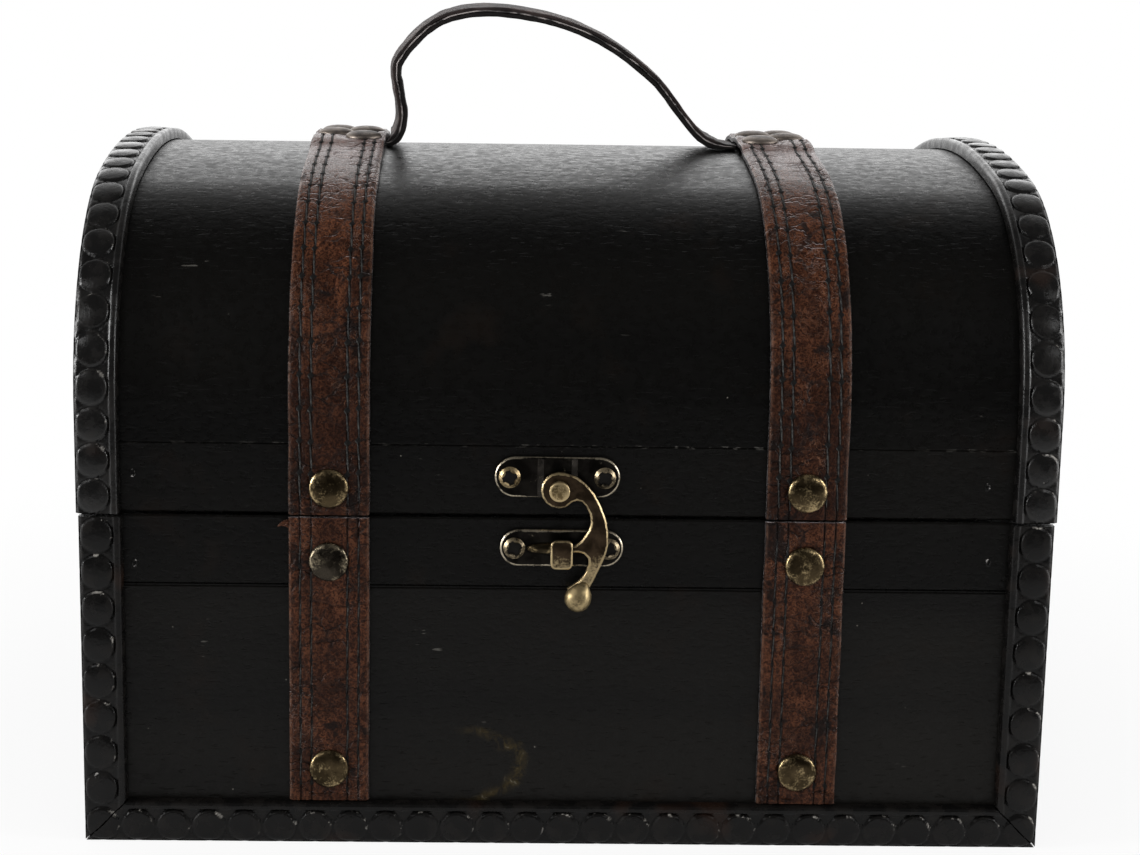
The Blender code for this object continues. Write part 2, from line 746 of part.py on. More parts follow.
def fit_screws(prefix, shift, z, plate, board, brass, carrier=None):
    """Two round-headed screws through a plate into the board behind it."""
    places = screw_places(shift, z, PLATE_TOP + FIT)
    profile = (
        (SCREW_SHANK_RADIUS / 2, -SCREW_SHANK_LENGTH),
        (SCREW_SHANK_RADIUS, SCREW_SHANK_RADIUS - SCREW_SHANK_LENGTH),
        (SCREW_SHANK_RADIUS, 0.0),
        (SCREW_HEAD_RADIUS, 0.0),
        (SCREW_HEAD_RADIUS - SCREW_HEAD_HEIGHT, SCREW_HEAD_HEIGHT),
    )
    for place, word in zip(places, ("left", "right")):
        smooth(piece(prefix + "_" + word, turned(profile, SCREW_SIDES, place), brass, carrier))
    drill([plate, board], places, SCREW_SHANK_RADIUS + FIT, SCREW_SHANK_LENGTH + FIT,
          SCREW_SIDES, prefix + "_holes")


def latch_plate(brass, lid):
    """Upper plate with the raised bridge that carries the rivet."""
    outline = stadium(LATCH_PLATE_LENGTH, LATCH_PLATE_WIDTH, LATCH_PLATE_SHIFT, LATCH_PLATE_RAISE)
    plate = piece("latch_plate", slab(outline, FIT, PLATE_TOP), brass, lid)
    root = FIT + PLATE_THICKNESS / 2
    half = BRIDGE_LENGTH / 2
    tread = (
        (-half, root), (-half, PLATE_TOP), (BRIDGE_RAMP - half, PLATE_TOP + BRIDGE_HEIGHT),
        (half - BRIDGE_RAMP, PLATE_TOP + BRIDGE_HEIGHT), (half, PLATE_TOP), (half, root),
    )
    reach = LATCH_PLATE_WIDTH / 2 - BRIDGE_INSET
    bridge = loft([
        [latch_point(LATCH_PLATE_SHIFT + x, LATCH_PLATE_RAISE + sign * reach, out) for x, out in tread]
        for sign in (-1, 1)])
    combine([plate], bridge, "UNION", "latch_bridge")
    rivet_stand = stand(latch_point(0, 0, HOOK_BACK), (0.0, -1.0, 0.0))
    drill([plate], [rivet_stand], RIVET_RADIUS + FIT, HOOK_BACK, SCREW_SIDES, "rivet_hole")
    fit_screws("latch_screw", LATCH_PLATE_SHIFT, LATCH_PLATE_RAISE, plate,
               bpy.data.objects["lid_front_rail"], brass, lid)


def latch_rivet(brass, lid):
    """Rivet from the back of the plate to its head, in front of the hook."""
    place = stand(latch_point(0, 0, HOOK_FRONT + FIT), (0.0, -1.0, 0.0))
    profile = (
        (RIVET_RADIUS, -HOOK_FRONT), (RIVET_RADIUS, 0.0), (RIVET_HEAD_RADIUS, 0.0),
        (RIVET_HEAD_RADIUS, RIVET_HEAD_HEIGHT / 2),
        (RIVET_HEAD_RADIUS - RIVET_HEAD_HEIGHT / 2, RIVET_HEAD_HEIGHT),
    )
    smooth(piece("latch_rivet", turned(profile, 2 * SCREW_SIDES, place), brass, lid))


def catch_plate(brass):
    """Lower plate: a rib climbs from the left to a post and its overhanging head."""
    outline = stadium(CATCH_PLATE_LENGTH, CATCH_PLATE_WIDTH, CATCH_PLATE_SHIFT, -CATCH_PLATE_DROP)
    plate = piece("catch_plate", slab(outline, FIT, PLATE_TOP), brass)
    root = FIT + PLATE_THICKNESS / 2
    head_back = HOOK_FRONT + FIT
    head_left = CATCH_HEAD_SHIFT - CATCH_HEAD_WIDTH / 2
    web = (
        (head_left - CATCH_RIB_REACH, root), (head_left - CATCH_RIB_REACH, PLATE_TOP + CATCH_RIB_STEP),
        (head_left + CATCH_RIB_STEP, head_back + CATCH_HEAD_THICKNESS / 2),
        (head_left + CATCH_POST_WIDTH, head_back + CATCH_HEAD_THICKNESS / 2),
        (head_left + CATCH_POST_WIDTH, root),
    )
    half = CATCH_RIB_WIDTH / 2
    rib = loft([
        [latch_point(x, sign * half - CATCH_PLATE_DROP, out) for x, out in web] for sign in (-1, 1)])
    combine([plate], rib, "UNION", "catch_rib")
    head = []
    for across, along in CATCH_HEAD_OUTLINE_SHARES:
        head.append((CATCH_HEAD_SHIFT + across * CATCH_HEAD_WIDTH / 2,
                     along * CATCH_HEAD_LENGTH / 2 - CATCH_HEAD_DROP))
    combine([plate], slab(head, head_back, head_back + CATCH_HEAD_THICKNESS), "UNION", "catch_head")
    fit_screws("catch_screw", CATCH_PLATE_SHIFT, -CATCH_PLATE_DROP, plate,
               bpy.data.objects["body_front_rail"], brass)


def latch_hook(brass, hook):
    """Flat crescent hook with an eye, a tooth that goes under the catch's head, and a ball."""
    outline = []
    for step in range(HOOK_EYE_FACETS + 1):
        share = step / HOOK_EYE_FACETS
        angle = math.radians(HOOK_EYE_START + (HOOK_EYE_END - HOOK_EYE_START) * share)
        outline.append((HOOK_EYE_RADIUS * math.cos(angle), HOOK_EYE_RADIUS * math.sin(angle)))
    outline += [(HOOK_SPAN * across, HOOK_DROP * down) for across, down in HOOK_OUTLINE_SHARES]
    made = piece("latch_hook", slab(outline, HOOK_BACK, HOOK_FRONT), brass, hook)
    ball = bmesh.new()
    middle = latch_point(HOOK_SPAN * HOOK_BALL_SHARE, -HOOK_DROP, (HOOK_BACK + HOOK_FRONT) / 2)
    bmesh.ops.create_icosphere(
        ball, subdivisions=2, radius=HOOK_BALL_RADIUS, matrix=Matrix.Translation(middle))
    combine([made], ball, "UNION", "hook_ball")
    eye = stand(latch_point(0, 0, HOOK_FRONT), (0.0, -1.0, 0.0))
    drill([made], [eye], RIVET_RADIUS + RUNNING_CLEARANCE, HOOK_THICKNESS + OVERRUN,
          2 * SCREW_SIDES, "hook_eye")


# Hinges

def knuckle(x, start, end):
    """Barrel of a hinge about its pin's axis, from start to end along X."""
    place = Matrix.Translation((x, HINGE_REACH, SEAM_MIDDLE)) @ Matrix.Rotation(math.pi / 2, 4, "Y")
    return turned(((KNUCKLE_RADIUS, start), (KNUCKLE_RADIUS, end)), KNUCKLE_SIDES, place)


def hinge_leaf(name, x, rise, barrels, board, brass, carrier=None):
    """Leaf on the back, above (rise 1) or below (rise -1) the seam, with its barrels."""
    back = HALF_DEPTH + FIT
    half = HINGE_LENGTH / 2
    heights = sorted(
        SEAM_MIDDLE + rise * (HINGE_LEAF_LIFT + height) for height in (0.0, HINGE_LEAF_HEIGHT))
    leaf = piece(name, block(
        (x - half, back, heights[0]), (x + half, back + HINGE_LEAF_THICKNESS, heights[1])),
        brass, carrier)
    web_heights = sorted(
        SEAM_MIDDLE + rise * height
        for height in (HINGE_LEAF_LIFT, KNUCKLE_WEB_TOP_SHARE * KNUCKLE_RADIUS))
    web_reach = HINGE_REACH - KNUCKLE_WEB_SHARE * KNUCKLE_RADIUS
    for number, (start, end) in enumerate(barrels):
        web = block(
            (x + start, back + HINGE_LEAF_THICKNESS / 2, web_heights[0]),
            (x + end, web_reach, web_heights[1]))
        combine([leaf], web, "UNION", name + "_web_" + str(number + 1))
        combine([leaf], knuckle(x, start, end), "UNION", name + "_barrel_" + str(number + 1))
    bore = Matrix.Translation((x + half, HINGE_REACH, SEAM_MIDDLE))
    bore = bore @ Matrix.Rotation(math.pi / 2, 4, "Y")
    drill([leaf], [bore], PIN_RADIUS + RUNNING_CLEARANCE, HINGE_LENGTH + OVERRUN,
          KNUCKLE_SIDES, name + "_bore")
    holes = []
    for side in (-1, 1):
        height = SEAM_MIDDLE + rise * HINGE_SCREW_HEIGHT
        holes.append(facing(1, x + side * HINGE_SCREW_SPACING / 2, height, FIT + HINGE_LEAF_THICKNESS))
    drill([leaf, board], holes, HINGE_SCREW_RADIUS, SCREW_SHANK_LENGTH, STUD_SIDES, name + "_holes")


def hinges(brass, lid):
    """Two hinges: the body carries the outer barrels and the lid the middle one."""
    third = HINGE_LENGTH / 6
    outer = ((-HINGE_LENGTH / 2, -third - FIT), (third + FIT, HINGE_LENGTH / 2))
    middle = ((-third, third),)
    for side, word in ((-1, "left"), (1, "right")):
        x = side * HINGE_CENTRE
        hinge_leaf("hinge_body_leaf_" + word, x, -1, outer, bpy.data.objects["body_back_panel"], brass)
        hinge_leaf("hinge_lid_leaf_" + word, x, 1, middle, bpy.data.objects["lid_back_rail"], brass, lid)
        reach = HINGE_LENGTH / 2 + FIT
        profile = (
            (PIN_HEAD_RADIUS, -reach - PIN_HEAD_LENGTH), (PIN_HEAD_RADIUS, -reach),
            (PIN_RADIUS, -reach), (PIN_RADIUS, reach),
            (PIN_HEAD_RADIUS, reach), (PIN_HEAD_RADIUS, reach + PIN_HEAD_LENGTH),
        )
        place = Matrix.Translation((x, HINGE_REACH, SEAM_MIDDLE)) @ Matrix.Rotation(math.pi / 2, 4, "Y")
        smooth(piece("hinge_pin_" + word, turned(profile, KNUCKLE_SIDES, place), brass))


def clear():
    for old in list(bpy.data.objects):
        bpy.data.objects.remove(old, do_unlink=True)


def build():
    clear()
    wood = stained_wood()
    leather = strap_leather()
    dark_leather = handle_leather()
    brass = antique_brass()
    lid = pivot("lid_pivot", (0, HINGE_REACH, SEAM_MIDDLE))
    hook = pivot("hook_pivot", latch_point(0, 0, HOOK_BACK), lid)
    handle = pivot("handle_pivot", (0, 0, crown_height() + HANDLE_PIVOT_HEIGHT), lid)
    body_boards(wood)
    lid_boards(wood, lid)
    body_mouldings(wood)
    lid_mouldings(wood, lid)
    straps = lid_straps(leather, lid)
    body_straps(leather)
    handle_ends(dark_leather, lid)
    handle_loop(dark_leather, handle)
    body_studs(brass)
    lid_studs(brass, lid, straps)
    latch_plate(brass, lid)
    latch_rivet(brass, lid)
    latch_hook(brass, hook)
    catch_plate(brass)
    hinges(brass, lid)


build()
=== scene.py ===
import json
import math
from contextlib import contextmanager

import bmesh
import bpy
from mathutils import Matrix, Vector, noise

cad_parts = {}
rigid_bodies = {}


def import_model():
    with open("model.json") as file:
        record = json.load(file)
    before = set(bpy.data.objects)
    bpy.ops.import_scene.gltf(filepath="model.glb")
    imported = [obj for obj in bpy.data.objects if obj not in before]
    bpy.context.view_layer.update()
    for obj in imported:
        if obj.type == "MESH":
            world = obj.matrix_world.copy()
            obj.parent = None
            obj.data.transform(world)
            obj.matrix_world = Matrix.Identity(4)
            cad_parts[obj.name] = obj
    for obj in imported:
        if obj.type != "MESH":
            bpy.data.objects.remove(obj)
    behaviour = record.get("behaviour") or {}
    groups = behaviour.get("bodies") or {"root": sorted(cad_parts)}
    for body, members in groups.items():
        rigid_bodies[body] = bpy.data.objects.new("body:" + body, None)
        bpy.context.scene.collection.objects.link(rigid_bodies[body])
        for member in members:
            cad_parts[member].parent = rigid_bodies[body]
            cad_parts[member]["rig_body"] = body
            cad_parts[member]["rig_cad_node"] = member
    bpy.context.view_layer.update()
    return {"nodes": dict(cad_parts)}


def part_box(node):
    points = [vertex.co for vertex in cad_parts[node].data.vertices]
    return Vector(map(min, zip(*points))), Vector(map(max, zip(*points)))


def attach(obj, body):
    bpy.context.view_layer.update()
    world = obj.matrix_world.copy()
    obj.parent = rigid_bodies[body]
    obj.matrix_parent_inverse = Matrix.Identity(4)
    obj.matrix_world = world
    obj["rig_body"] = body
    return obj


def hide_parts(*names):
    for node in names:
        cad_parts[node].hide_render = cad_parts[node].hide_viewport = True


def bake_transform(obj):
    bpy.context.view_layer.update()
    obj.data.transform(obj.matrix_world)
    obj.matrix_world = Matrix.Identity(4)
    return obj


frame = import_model()

# Sizes of the frame that the looks follow
PANEL_LOW, PANEL_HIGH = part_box("body_front_panel")
DOME_LOW, DOME_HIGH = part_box("lid_dome")
UPRIGHT_LOW, UPRIGHT_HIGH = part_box("body_front_moulding_left")
STRAP_LOW, STRAP_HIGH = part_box("body_front_strap_right")
BODY_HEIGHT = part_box("body_front_rail")[1].z
LID_BOTTOM, LID_RAIL_TOP = (corner.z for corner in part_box("lid_front_rail"))
BODY_RAIL_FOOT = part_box("body_front_rail")[0].z
HALF_DEPTH = -PANEL_LOW.y
BODY_HALF_WIDTH = PANEL_HIGH.x
LID_HALF_WIDTH = DOME_HIGH.x
CROWN = DOME_HIGH.z

# Gap between pieces that lie on one another, and how near points are when they merge
FIT = 0.0003
MERGE_DISTANCE = 0.00001

# Signs and words of the box's sides and faces
SIDES = ((-1, "left"), (1, "right"))
FACES = ((-1, "front"), (1, "back"))

# Curve of the lid, on the outer face of its bent sheet
LID_SIDE_HEIGHT = 0.024
LID_CORNER_RADIUS = 0.0485
LID_CROWN_RADIUS = 0.207
SHEET_THICKNESS = 0.003
CORNER_BEND = math.acos((HALF_DEPTH - LID_CORNER_RADIUS) / (LID_CROWN_RADIUS - LID_CORNER_RADIUS))
CORNER_LENGTH = LID_CORNER_RADIUS * CORNER_BEND
HALF_GIRTH = LID_SIDE_HEIGHT + CORNER_LENGTH + LID_CROWN_RADIUS * (math.pi / 2 - CORNER_BEND)
CROWN_MIDDLE = (LID_BOTTOM + LID_SIDE_HEIGHT
                - (LID_CROWN_RADIUS - LID_CORNER_RADIUS) * math.sin(CORNER_BEND))

# Carved mouldings
MOULDING_WIDTH = UPRIGHT_HIGH.x - UPRIGHT_LOW.x
MOULDING_RISE = 0.003
COIN_WIDTH = 0.0078
COIN_PITCH = 0.0082
COIN_CUTS = 21
COIN_ROUNDNESS = 2.05
COIN_LENGTH_SHARE = 0.995
COIN_SEAT_SHARE = 0.78
COIN_EDGE_SHARE = 0.84
COIN_TILT_SHARE = 0.05
COIN_GROOVE_SHARE = 0.13
FILLET_SHARE = 0.90
CARVING_UNEVENNESS = 0.00007
JOINT_UNEVENNESS = 0.00003
ACROSS_SHARES = (
    0.0, 0.022, 0.05, 0.085, 0.125, 0.17, 0.22, 0.28, 0.35, 0.42, 0.49, 0.55, 0.60, 0.645, 0.685,
    0.72, 0.75, 0.775, 0.80, 0.825, 0.85, 0.89, 0.935, 0.97, 0.992,
)

# Leather straps, their stitch rows as shares of the width, and the creases across the lid straps
STRAP_CENTRE = (STRAP_LOW.x + STRAP_HIGH.x) / 2
STRAP_WIDTH = STRAP_HIGH.x - STRAP_LOW.x
STRAP_THICKNESS = 0.0015
STRAP_FOOT = STRAP_LOW.z
STRAP_RAMP = 0.006
STRAP_STEP = 0.012
TAB_THICKNESS = 0.0006
HUMP_REACH = 0.01555
HUMP_EASE = 0.006
STITCH_ROW_SHARES = (0.145, 0.2825, 0.73, 0.8675)
GROOVE_DEPTH = 0.00028
GROOVE_SHARE = 0.023
EDGE_WANDER = 0.00016
CREASES = {"left": (0.0125,), "right": (0.013, 0.0285)}
CREASE_DEPTH = 0.00016
CREASE_WIDTH = 0.0006
CREASE_BEND = 0.0008
WRINKLE_DEPTH = 0.00008
STITCH_PITCH = 0.0073
STITCH_LENGTH = 0.0064
THREAD_RADIUS = 0.00022
STITCH_SLANT = 0.00018
STITCH_WANDER = 0.00012
KNOT_LENGTH = 0.0008
HOLE_RADIUS = 0.00090
SWELL = 0.0008
SHRED_LENGTH = 0.0031
SHRED_WIDTH = 0.0022
SHRED_THICKNESS = 0.0006
SHRED_LIFT = 0.0009
SHRED_DROP = 0.0016

# Handle strip
HANDLE_WIDTH = 0.018
HANDLE_THICKNESS = 0.003
HANDLE_LEATHER = 0.0024
HANDLE_UNEVENNESS = 0.00016
HANDLE_EDGE_WANDER = 0.00030
FILLER_PROUD = 0.00008
HANDLE_TWIST_START = 0.085
HANDLE_TWIST_END = 0.03
HANDLE_RISE = 0.0329
HANDLE_HALF_SPAN = STRAP_CENTRE - STRAP_WIDTH / 2 - FIT
HANDLE_SPAN_SHARES = (
    -1.0, -0.985, -0.955, -0.932, -0.924, -0.932, -0.948, -0.958, -0.952, -0.915,
    -0.864, -0.796, -0.728, -0.659, -0.56, -0.453, -0.316, -0.178, -0.04, 0.098,
    0.238, 0.378, 0.508, 0.59, 0.662, 0.734, 0.79, 0.84, 0.90, 1.0,
)
HANDLE_RISE_SHARES = (
    0.0, 0.0, 0.03, 0.10, 0.183, 0.29, 0.40, 0.50, 0.58, 0.66,
    0.745, 0.835, 0.897, 0.942, 0.975, 0.989, 0.984, 0.957, 0.917, 0.855,
    0.767, 0.647, 0.508, 0.395, 0.269, 0.147, 0.065, 0.018, 0.0, 0.0,
)

# Small metal pieces
STUD_RADIUS = 0.0045
STUD_HEIGHT = 0.0016
STUD_RIM = 0.00025
STUD_FLATNESS = 2.15
STUD_DIMPLE = 0.00010
SCREW_RADIUS = 0.00245
SCREW_HEIGHT = 0.0007
SCREW_SMALL = (0.72, 0.72, 0.8, 1)
BALL_RADIUS = 0.0030
BALL_TAIL = 0.0011
BALL_UNEVENNESS = 0.00012
BALL_TAIL_WAY = (0.42, 0, 0.9)
RIVET_HEIGHT = 0.0012
RIVET_EDGE = 0.00012
RIVET_INSET_SHARES = (0.14, 0.12, 0.2, 0.3)
RIVET_RISES = (0.00014, 0.00006, 0.00006, 0.00003)
PLATE_THICKNESS = 0.001
CATCH_HEAD_LEFT = -0.0018
CATCH_HEAD_WIDTH = 0.005
CATCH_HEAD_LENGTH = 0.0067
CATCH_HEAD_THICKNESS = 0.0012
CATCH_HEAD_DROP = 0.0006
CATCH_HEAD_CORNER = 0.0013
CATCH_POST_WIDTH = 0.002
HOOK_BAY_X = 0.0011
HOOK_BAY_HEIGHT = 0.06595
HOOK_BAY_RADIUS = 0.0031
BRIDGE_LENGTH = 0.0098
BRIDGE_HEIGHT = 0.001
BRIDGE_RAMP = 0.0018
RIB_LENGTH = 0.0056
RIB_WIDTH = 0.0027
RIB_RISE = 0.0011
CHAMFER_WIDTH = 0.00036
CHAMFER_DROP = 0.00028
HINGE_EDGE = 0.00014
HINGE_LEAF_THICKNESS = 0.001
HINGE_SCREW_RISE = 0.0066
HINGE_SCREW_REACH = 0.0065

# Arms of the star recess in a screw: degrees, length and width as shares of the head's width
SCREW_ARMS = ((12, 0.70, 0.25), (102, 0.70, 0.25), (57, 0.52, 0.16), (147, 0.52, 0.16))

# How far each latch screw was turned home, in radians
SCREW_TURNS = {
    "latch_screw_left": 0.1, "latch_screw_right": 0.5, "catch_screw_left": 0.3,
    "catch_screw_right": 0.9}

# Marks of small nails on the front: x, height and whether they sit on a moulding
NAIL_RADIUS = 0.0008
NAIL_MARKS = (
    (-0.0976, 0.0860, False), (-0.0975, 0.0652, False), (0.0944, 0.0849, False),
    (0.0956, 0.0673, False), (0.1066, 0.0871, True), (0.1056, 0.0797, True),
    (-0.1064, 0.0156, True), (0.1064, 0.0139, True), (0.0393, 0.0037, True),
    (0.0959, 0.0032, True),
)

# Scuffed ring on the front panel and rubbed line on the lid's rail
PATCH_SHIFT = (0.0240, 0, -0.0180)
PATCH_STRETCH = (71, 0, 111)
PATCH_FADE = (-0.027, -0.015)
LINE_FADE = (0.0002, 0.0006)

# Camera, worked out from the photograph's perspective
PHOTO_WIDTH = 1140
PHOTO_HEIGHT = 855
CAMERA_PLACE = (-0.0206, -0.5598, 0.1921)
CAMERA_YAW = 0.876
CAMERA_PITCH = 10.579
CAMERA_ROLL = 0.805
FOCAL_PIXELS = 2166.0
PRINCIPAL_PIXEL = (510.0, 400.0)
SENSOR = 36.0

# Light on all sides of the box
SKY_LEVEL = 0.55
BOX_MIDDLE = (0, 0, 0.09)
FRONT_FOOT = (0, -0.08, 0.02)

# Softboxes: place, the point they face, width, height, watts and whether reflections show them
SOFTBOXES = {
    "rear_softbox": ((0, 1.3, 0.62), BOX_MIDDLE, 1.8, 0.6, 4.0, True),
    "left_strip": ((-1.0, -0.30, 0.36), BOX_MIDDLE, 0.24, 0.5, 7.0, True),
    "right_strip": ((1.0, -0.30, 0.36), BOX_MIDDLE, 0.20, 0.5, 4.0, True),
    "left_card": ((-0.50, -0.08, 0.02), FRONT_FOOT, 0.5, 0.28, 0.25, True),
    "right_card": ((0.50, -0.08, 0.02), FRONT_FOOT, 0.5, 0.28, 0.9, True),
    "left_softbox": ((-0.75, -0.95, 0.75), BOX_MIDDLE, 0.30, 0.30, 1.1, True),
    "right_softbox": ((0.75, -0.95, 0.75), BOX_MIDDLE, 0.30, 0.30, 0.9, True),
    "front_fill": ((-0.2, -1.3, 0.6), BOX_MIDDLE, 1.0, 0.6, 2.0, False),
}


# Places

def lid_frame(girth):
    """Point and outward normal (y, z) on the lid's outer face, from the front of its underside."""
    behind = girth > HALF_GIRTH
    if behind:
        girth = 2 * HALF_GIRTH - girth
    if girth <= LID_SIDE_HEIGHT:
        point = (-HALF_DEPTH, LID_BOTTOM + girth)
        normal = (-1.0, 0.0)
    elif girth <= LID_SIDE_HEIGHT + CORNER_LENGTH:
        angle = (girth - LID_SIDE_HEIGHT) / LID_CORNER_RADIUS
        normal = (-math.cos(angle), math.sin(angle))
        point = (LID_CORNER_RADIUS - HALF_DEPTH + LID_CORNER_RADIUS * normal[0],
                 LID_BOTTOM + LID_SIDE_HEIGHT + LID_CORNER_RADIUS * normal[1])
    else:
        angle = CORNER_BEND + (girth - LID_SIDE_HEIGHT - CORNER_LENGTH) / LID_CROWN_RADIUS
        normal = (-math.cos(angle), math.sin(angle))
        point = (LID_CROWN_RADIUS * normal[0], CROWN_MIDDLE + LID_CROWN_RADIUS * normal[1])
    if behind:
        point = (-point[0], point[1])
        normal = (-normal[0], normal[1])
    return point, normal


def on_lid(x, girth, out):
    point, normal = lid_frame(girth)
    return Vector((x, point[0] + out * normal[0], point[1] + out * normal[1]))


def on_body(face):
    """Place on the body's front (face -1) or back (face 1), out from the wood."""
    return lambda x, height, out: Vector((x, face * (HALF_DEPTH + out), height))


def wander(*place):
    """Smooth noise between -1 and 1 at a place counted in its own ripples."""
    return noise.noise(Vector(place))


def smooth_step(value, low, high):
    share = min(1.0, max(0.0, (value - low) / (high - low)))
    return share * share * (3 - 2 * share)


# Modelling

def choose(*pieces):
    """Selects these pieces alone, with the first one active."""
    bpy.ops.object.select_all(action="DESELECT")
    for each in pieces:
        each.select_set(True)
    bpy.context.view_layer.objects.active = pieces[0]


@contextmanager
def editing(made, mode="VERT", action="DESELECT"):
    """Edit mode on one piece, with nothing selected at first unless asked for."""
    choose(made)
    bpy.ops.object.mode_set(mode="EDIT")
    bpy.ops.mesh.select_mode(type=mode)
    bpy.ops.mesh.select_all(action=action)
    yield bmesh.from_edit_mesh(made.data)
    bpy.ops.object.mode_set(mode="OBJECT")


def pick(parts, test):
    """Selects the verts, edges or faces that pass a test."""
    for part in parts:
        if test(part):
            part.select_set(True)


def added(name):
    """The piece just made, under its own name."""
    made = bpy.context.object
    made.name = name
    made.data.name = name
    return made


def start(name, primitive, **sizes):
    """A primitive under its own name, from which a piece is then shaped."""
    bpy.ops.object.select_all(action="DESELECT")
    primitive(**sizes)
    return added(name)


def keep(made, name, values):
    """Stores one value for each point of a piece, for its finish to read."""
    made.data.attributes.new(name, "FLOAT", "POINT").data.foreach_set("value", list(values))


def note(made, name, value):
    """Stores value(point) on each point of a piece."""
    keep(made, name, (value(point.co) for point in made.data.vertices))


def face_out(made):
    with editing(made, action="SELECT"):
        bpy.ops.mesh.normals_make_consistent(inside=False)


def bar(name, ring, passes, place, finish, **marks):
    """Closed bar with ring points round it, cut along its length once for each pass, then bent.

    Each point goes to place(step round the section, share of the length), and each mark's
    value(step, share) is stored on it."""
    made = start(name, bpy.ops.mesh.primitive_cylinder_add, vertices=ring, radius=1, depth=1,
                 end_fill_type="NGON")
    for cuts in passes:
        with editing(made, "EDGE") as mesh:
            pick(mesh.edges, lambda edge: abs(edge.verts[0].co.z - edge.verts[1].co.z) > FIT)
            bpy.ops.mesh.subdivide(number_cuts=cuts)
    turn = 2 * math.pi / ring
    spots = [(round(math.atan2(point.co.x, point.co.y) / turn) % ring, point.co.z + 0.5)
             for point in made.data.vertices]
    for word, value in marks.items():
        keep(made, word, (value(*spot) for spot in spots))
    for point, spot in zip(made.data.vertices, spots):
        point.co = place(*spot)
    face_out(made)
    wear(made, finish)
    return made


def modify(made, kind, **settings):
    """Puts one modifier on a piece and applies it."""
    change = made.modifiers.new(kind, kind)
    for name, value in settings.items():
        setattr(change, name, value)
    choose(made)
    bpy.ops.object.modifier_apply(modifier=change.name)


def array(made, count, offset):
    modify(made, "ARRAY", count=count, use_relative_offset=False, use_constant_offset=True,
           constant_offset_displace=offset)


def bevel(made, width, angle):
    modify(made, "BEVEL", width=width, segments=2, limit_method="ANGLE",
           angle_limit=math.radians(angle), loop_slide=False)


def rub_edges(made):
    """Chamfers the front edges of a metal piece and notes where they are rubbed bright."""
    with editing(made, "FACE") as mesh:
        pick(mesh.faces, lambda face: face.normal.y < -0.5)
        bpy.ops.mesh.inset(thickness=CHAMFER_WIDTH)
        bpy.ops.mesh.inset(thickness=CHAMFER_WIDTH * 0.6)
        rubbed = mesh.verts.layers.float.new("rubbed")
        front = [face for face in mesh.faces if face.normal.y < -0.5]
        inner = {point for face in front if face.select for point in face.verts}
        for point in {point for face in front for point in face.verts} - inner:
            point[rubbed] = 1.0
        for point in mesh.verts:
            sides = sum(face.normal.y < -0.5 for face in point.link_faces)
            if 0 < sides < len(point.link_faces):
                point.co.y += CHAMFER_DROP
    bevel(made, CHAMFER_WIDTH * 0.22, 24)


def boolean(made, cutter, operation):
    """Cuts or joins another piece, which is used up."""
    modify(made, "BOOLEAN", operation=operation, solver="EXACT", object=cutter)
    bpy.data.objects.remove(cutter)


def twin(made, name, place=None):
    """Copy with its own mesh, set down by a matrix."""
    copied = made.copy()
    copied.data = made.data.copy()
    copied.name = name
    copied.data.name = name
    bpy.context.scene.collection.objects.link(copied)
    if place is not None:
        copied.data.transform(place)
    return copied


def joined(pieces, name):
    choose(*pieces)
    bpy.ops.object.join()
    return added(name)


def place_of(node):
    """Low corner, high corner and middle of a CAD node."""
    low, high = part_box(node)
    return low, high, (low + high) / 2


def cad_twin(node, name):
    """Merged copy of a CAD node with its flat faces made whole, ready for finer edges."""
    copied = twin(frame["nodes"][node], name)
    copied.parent = None
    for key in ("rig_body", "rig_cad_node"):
        del copied[key]
    with editing(copied, action="SELECT"):
        bpy.ops.mesh.remove_doubles(threshold=MERGE_DISTANCE)
        bpy.ops.mesh.dissolve_limited(angle_limit=math.radians(2))
    return copied


def stand(point, normal):
    """Matrix that sets a piece's Z axis along a normal at a point, with its X axis kept level."""
    up = Vector(normal).normalized()
    along = Vector((1, 0, 0)) if abs(up.x) < 0.9 else Vector((0, 1, 0))
    side = up.cross(along).normalized()
    turn = Matrix((side.cross(up), side, up)).transposed().to_4x4()
    return Matrix.Translation(point) @ turn


def wear(made, *finishes):
    """Puts finishes into a piece's material slots in order, and leaves its faces' slots alone."""
    slots = made.data.materials
    while len(slots) < len(finishes):
        slots.append(None)
    for number, each in enumerate(finishes):
        slots[number] = each


def repaint(node, finish):
    """Gives a CAD node, whose shape is right as it is, one better finish."""
    slots = frame["nodes"][node].data.materials
    slots.clear()
    slots.append(finish)


def done(made, body, replaces=(), sharp=35):
    """Smooths a piece, lets it ride on its body and hides the nodes it stands for."""
    choose(made)
    bpy.ops.object.shade_smooth_by_angle(angle=math.radians(sharp))
    if body is not None:
        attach(made, body)
    if replaces:
        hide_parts(*replaces)


def metal(made, finish, body, replaces=(), sharp=28):
    """Puts a brass finish on a piece and sets it on its body."""
    wear(made, finish)
    done(made, body, replaces, sharp)


# Shader building

class Wire:
    """A shader value, a number or a place, that takes part in sums."""

    def __init__(self, paint, socket):
        self.paint = paint
        self.socket = socket

    def sum(self, operation, *terms):
        kind = "VectorMath" if self.socket.type == "VECTOR" else "Math"
        return self.paint.node(kind, {"operation": operation}, dict(enumerate(terms)))

    def __add__(self, other):
        return self.sum("ADD", self, other)

    __radd__ = __add__

    def __sub__(self, other):
        return self.sum("SUBTRACT", self, other)

    def __rsub__(self, other):
        return self.sum("SUBTRACT", other, self)

    def __mul__(self, other):
        return self.sum("MULTIPLY", self, other)

    __rmul__ = __mul__

    def __abs__(self):
        return self.sum("ABSOLUTE", self)

    def step(self, low, high):
        """Rises smoothly from 0 to 1 as the value goes from low to high."""
        return self.paint.node(
            "MapRange", {"interpolation_type": "SMOOTHSTEP"}, {0: self, 1: low, 2: high})


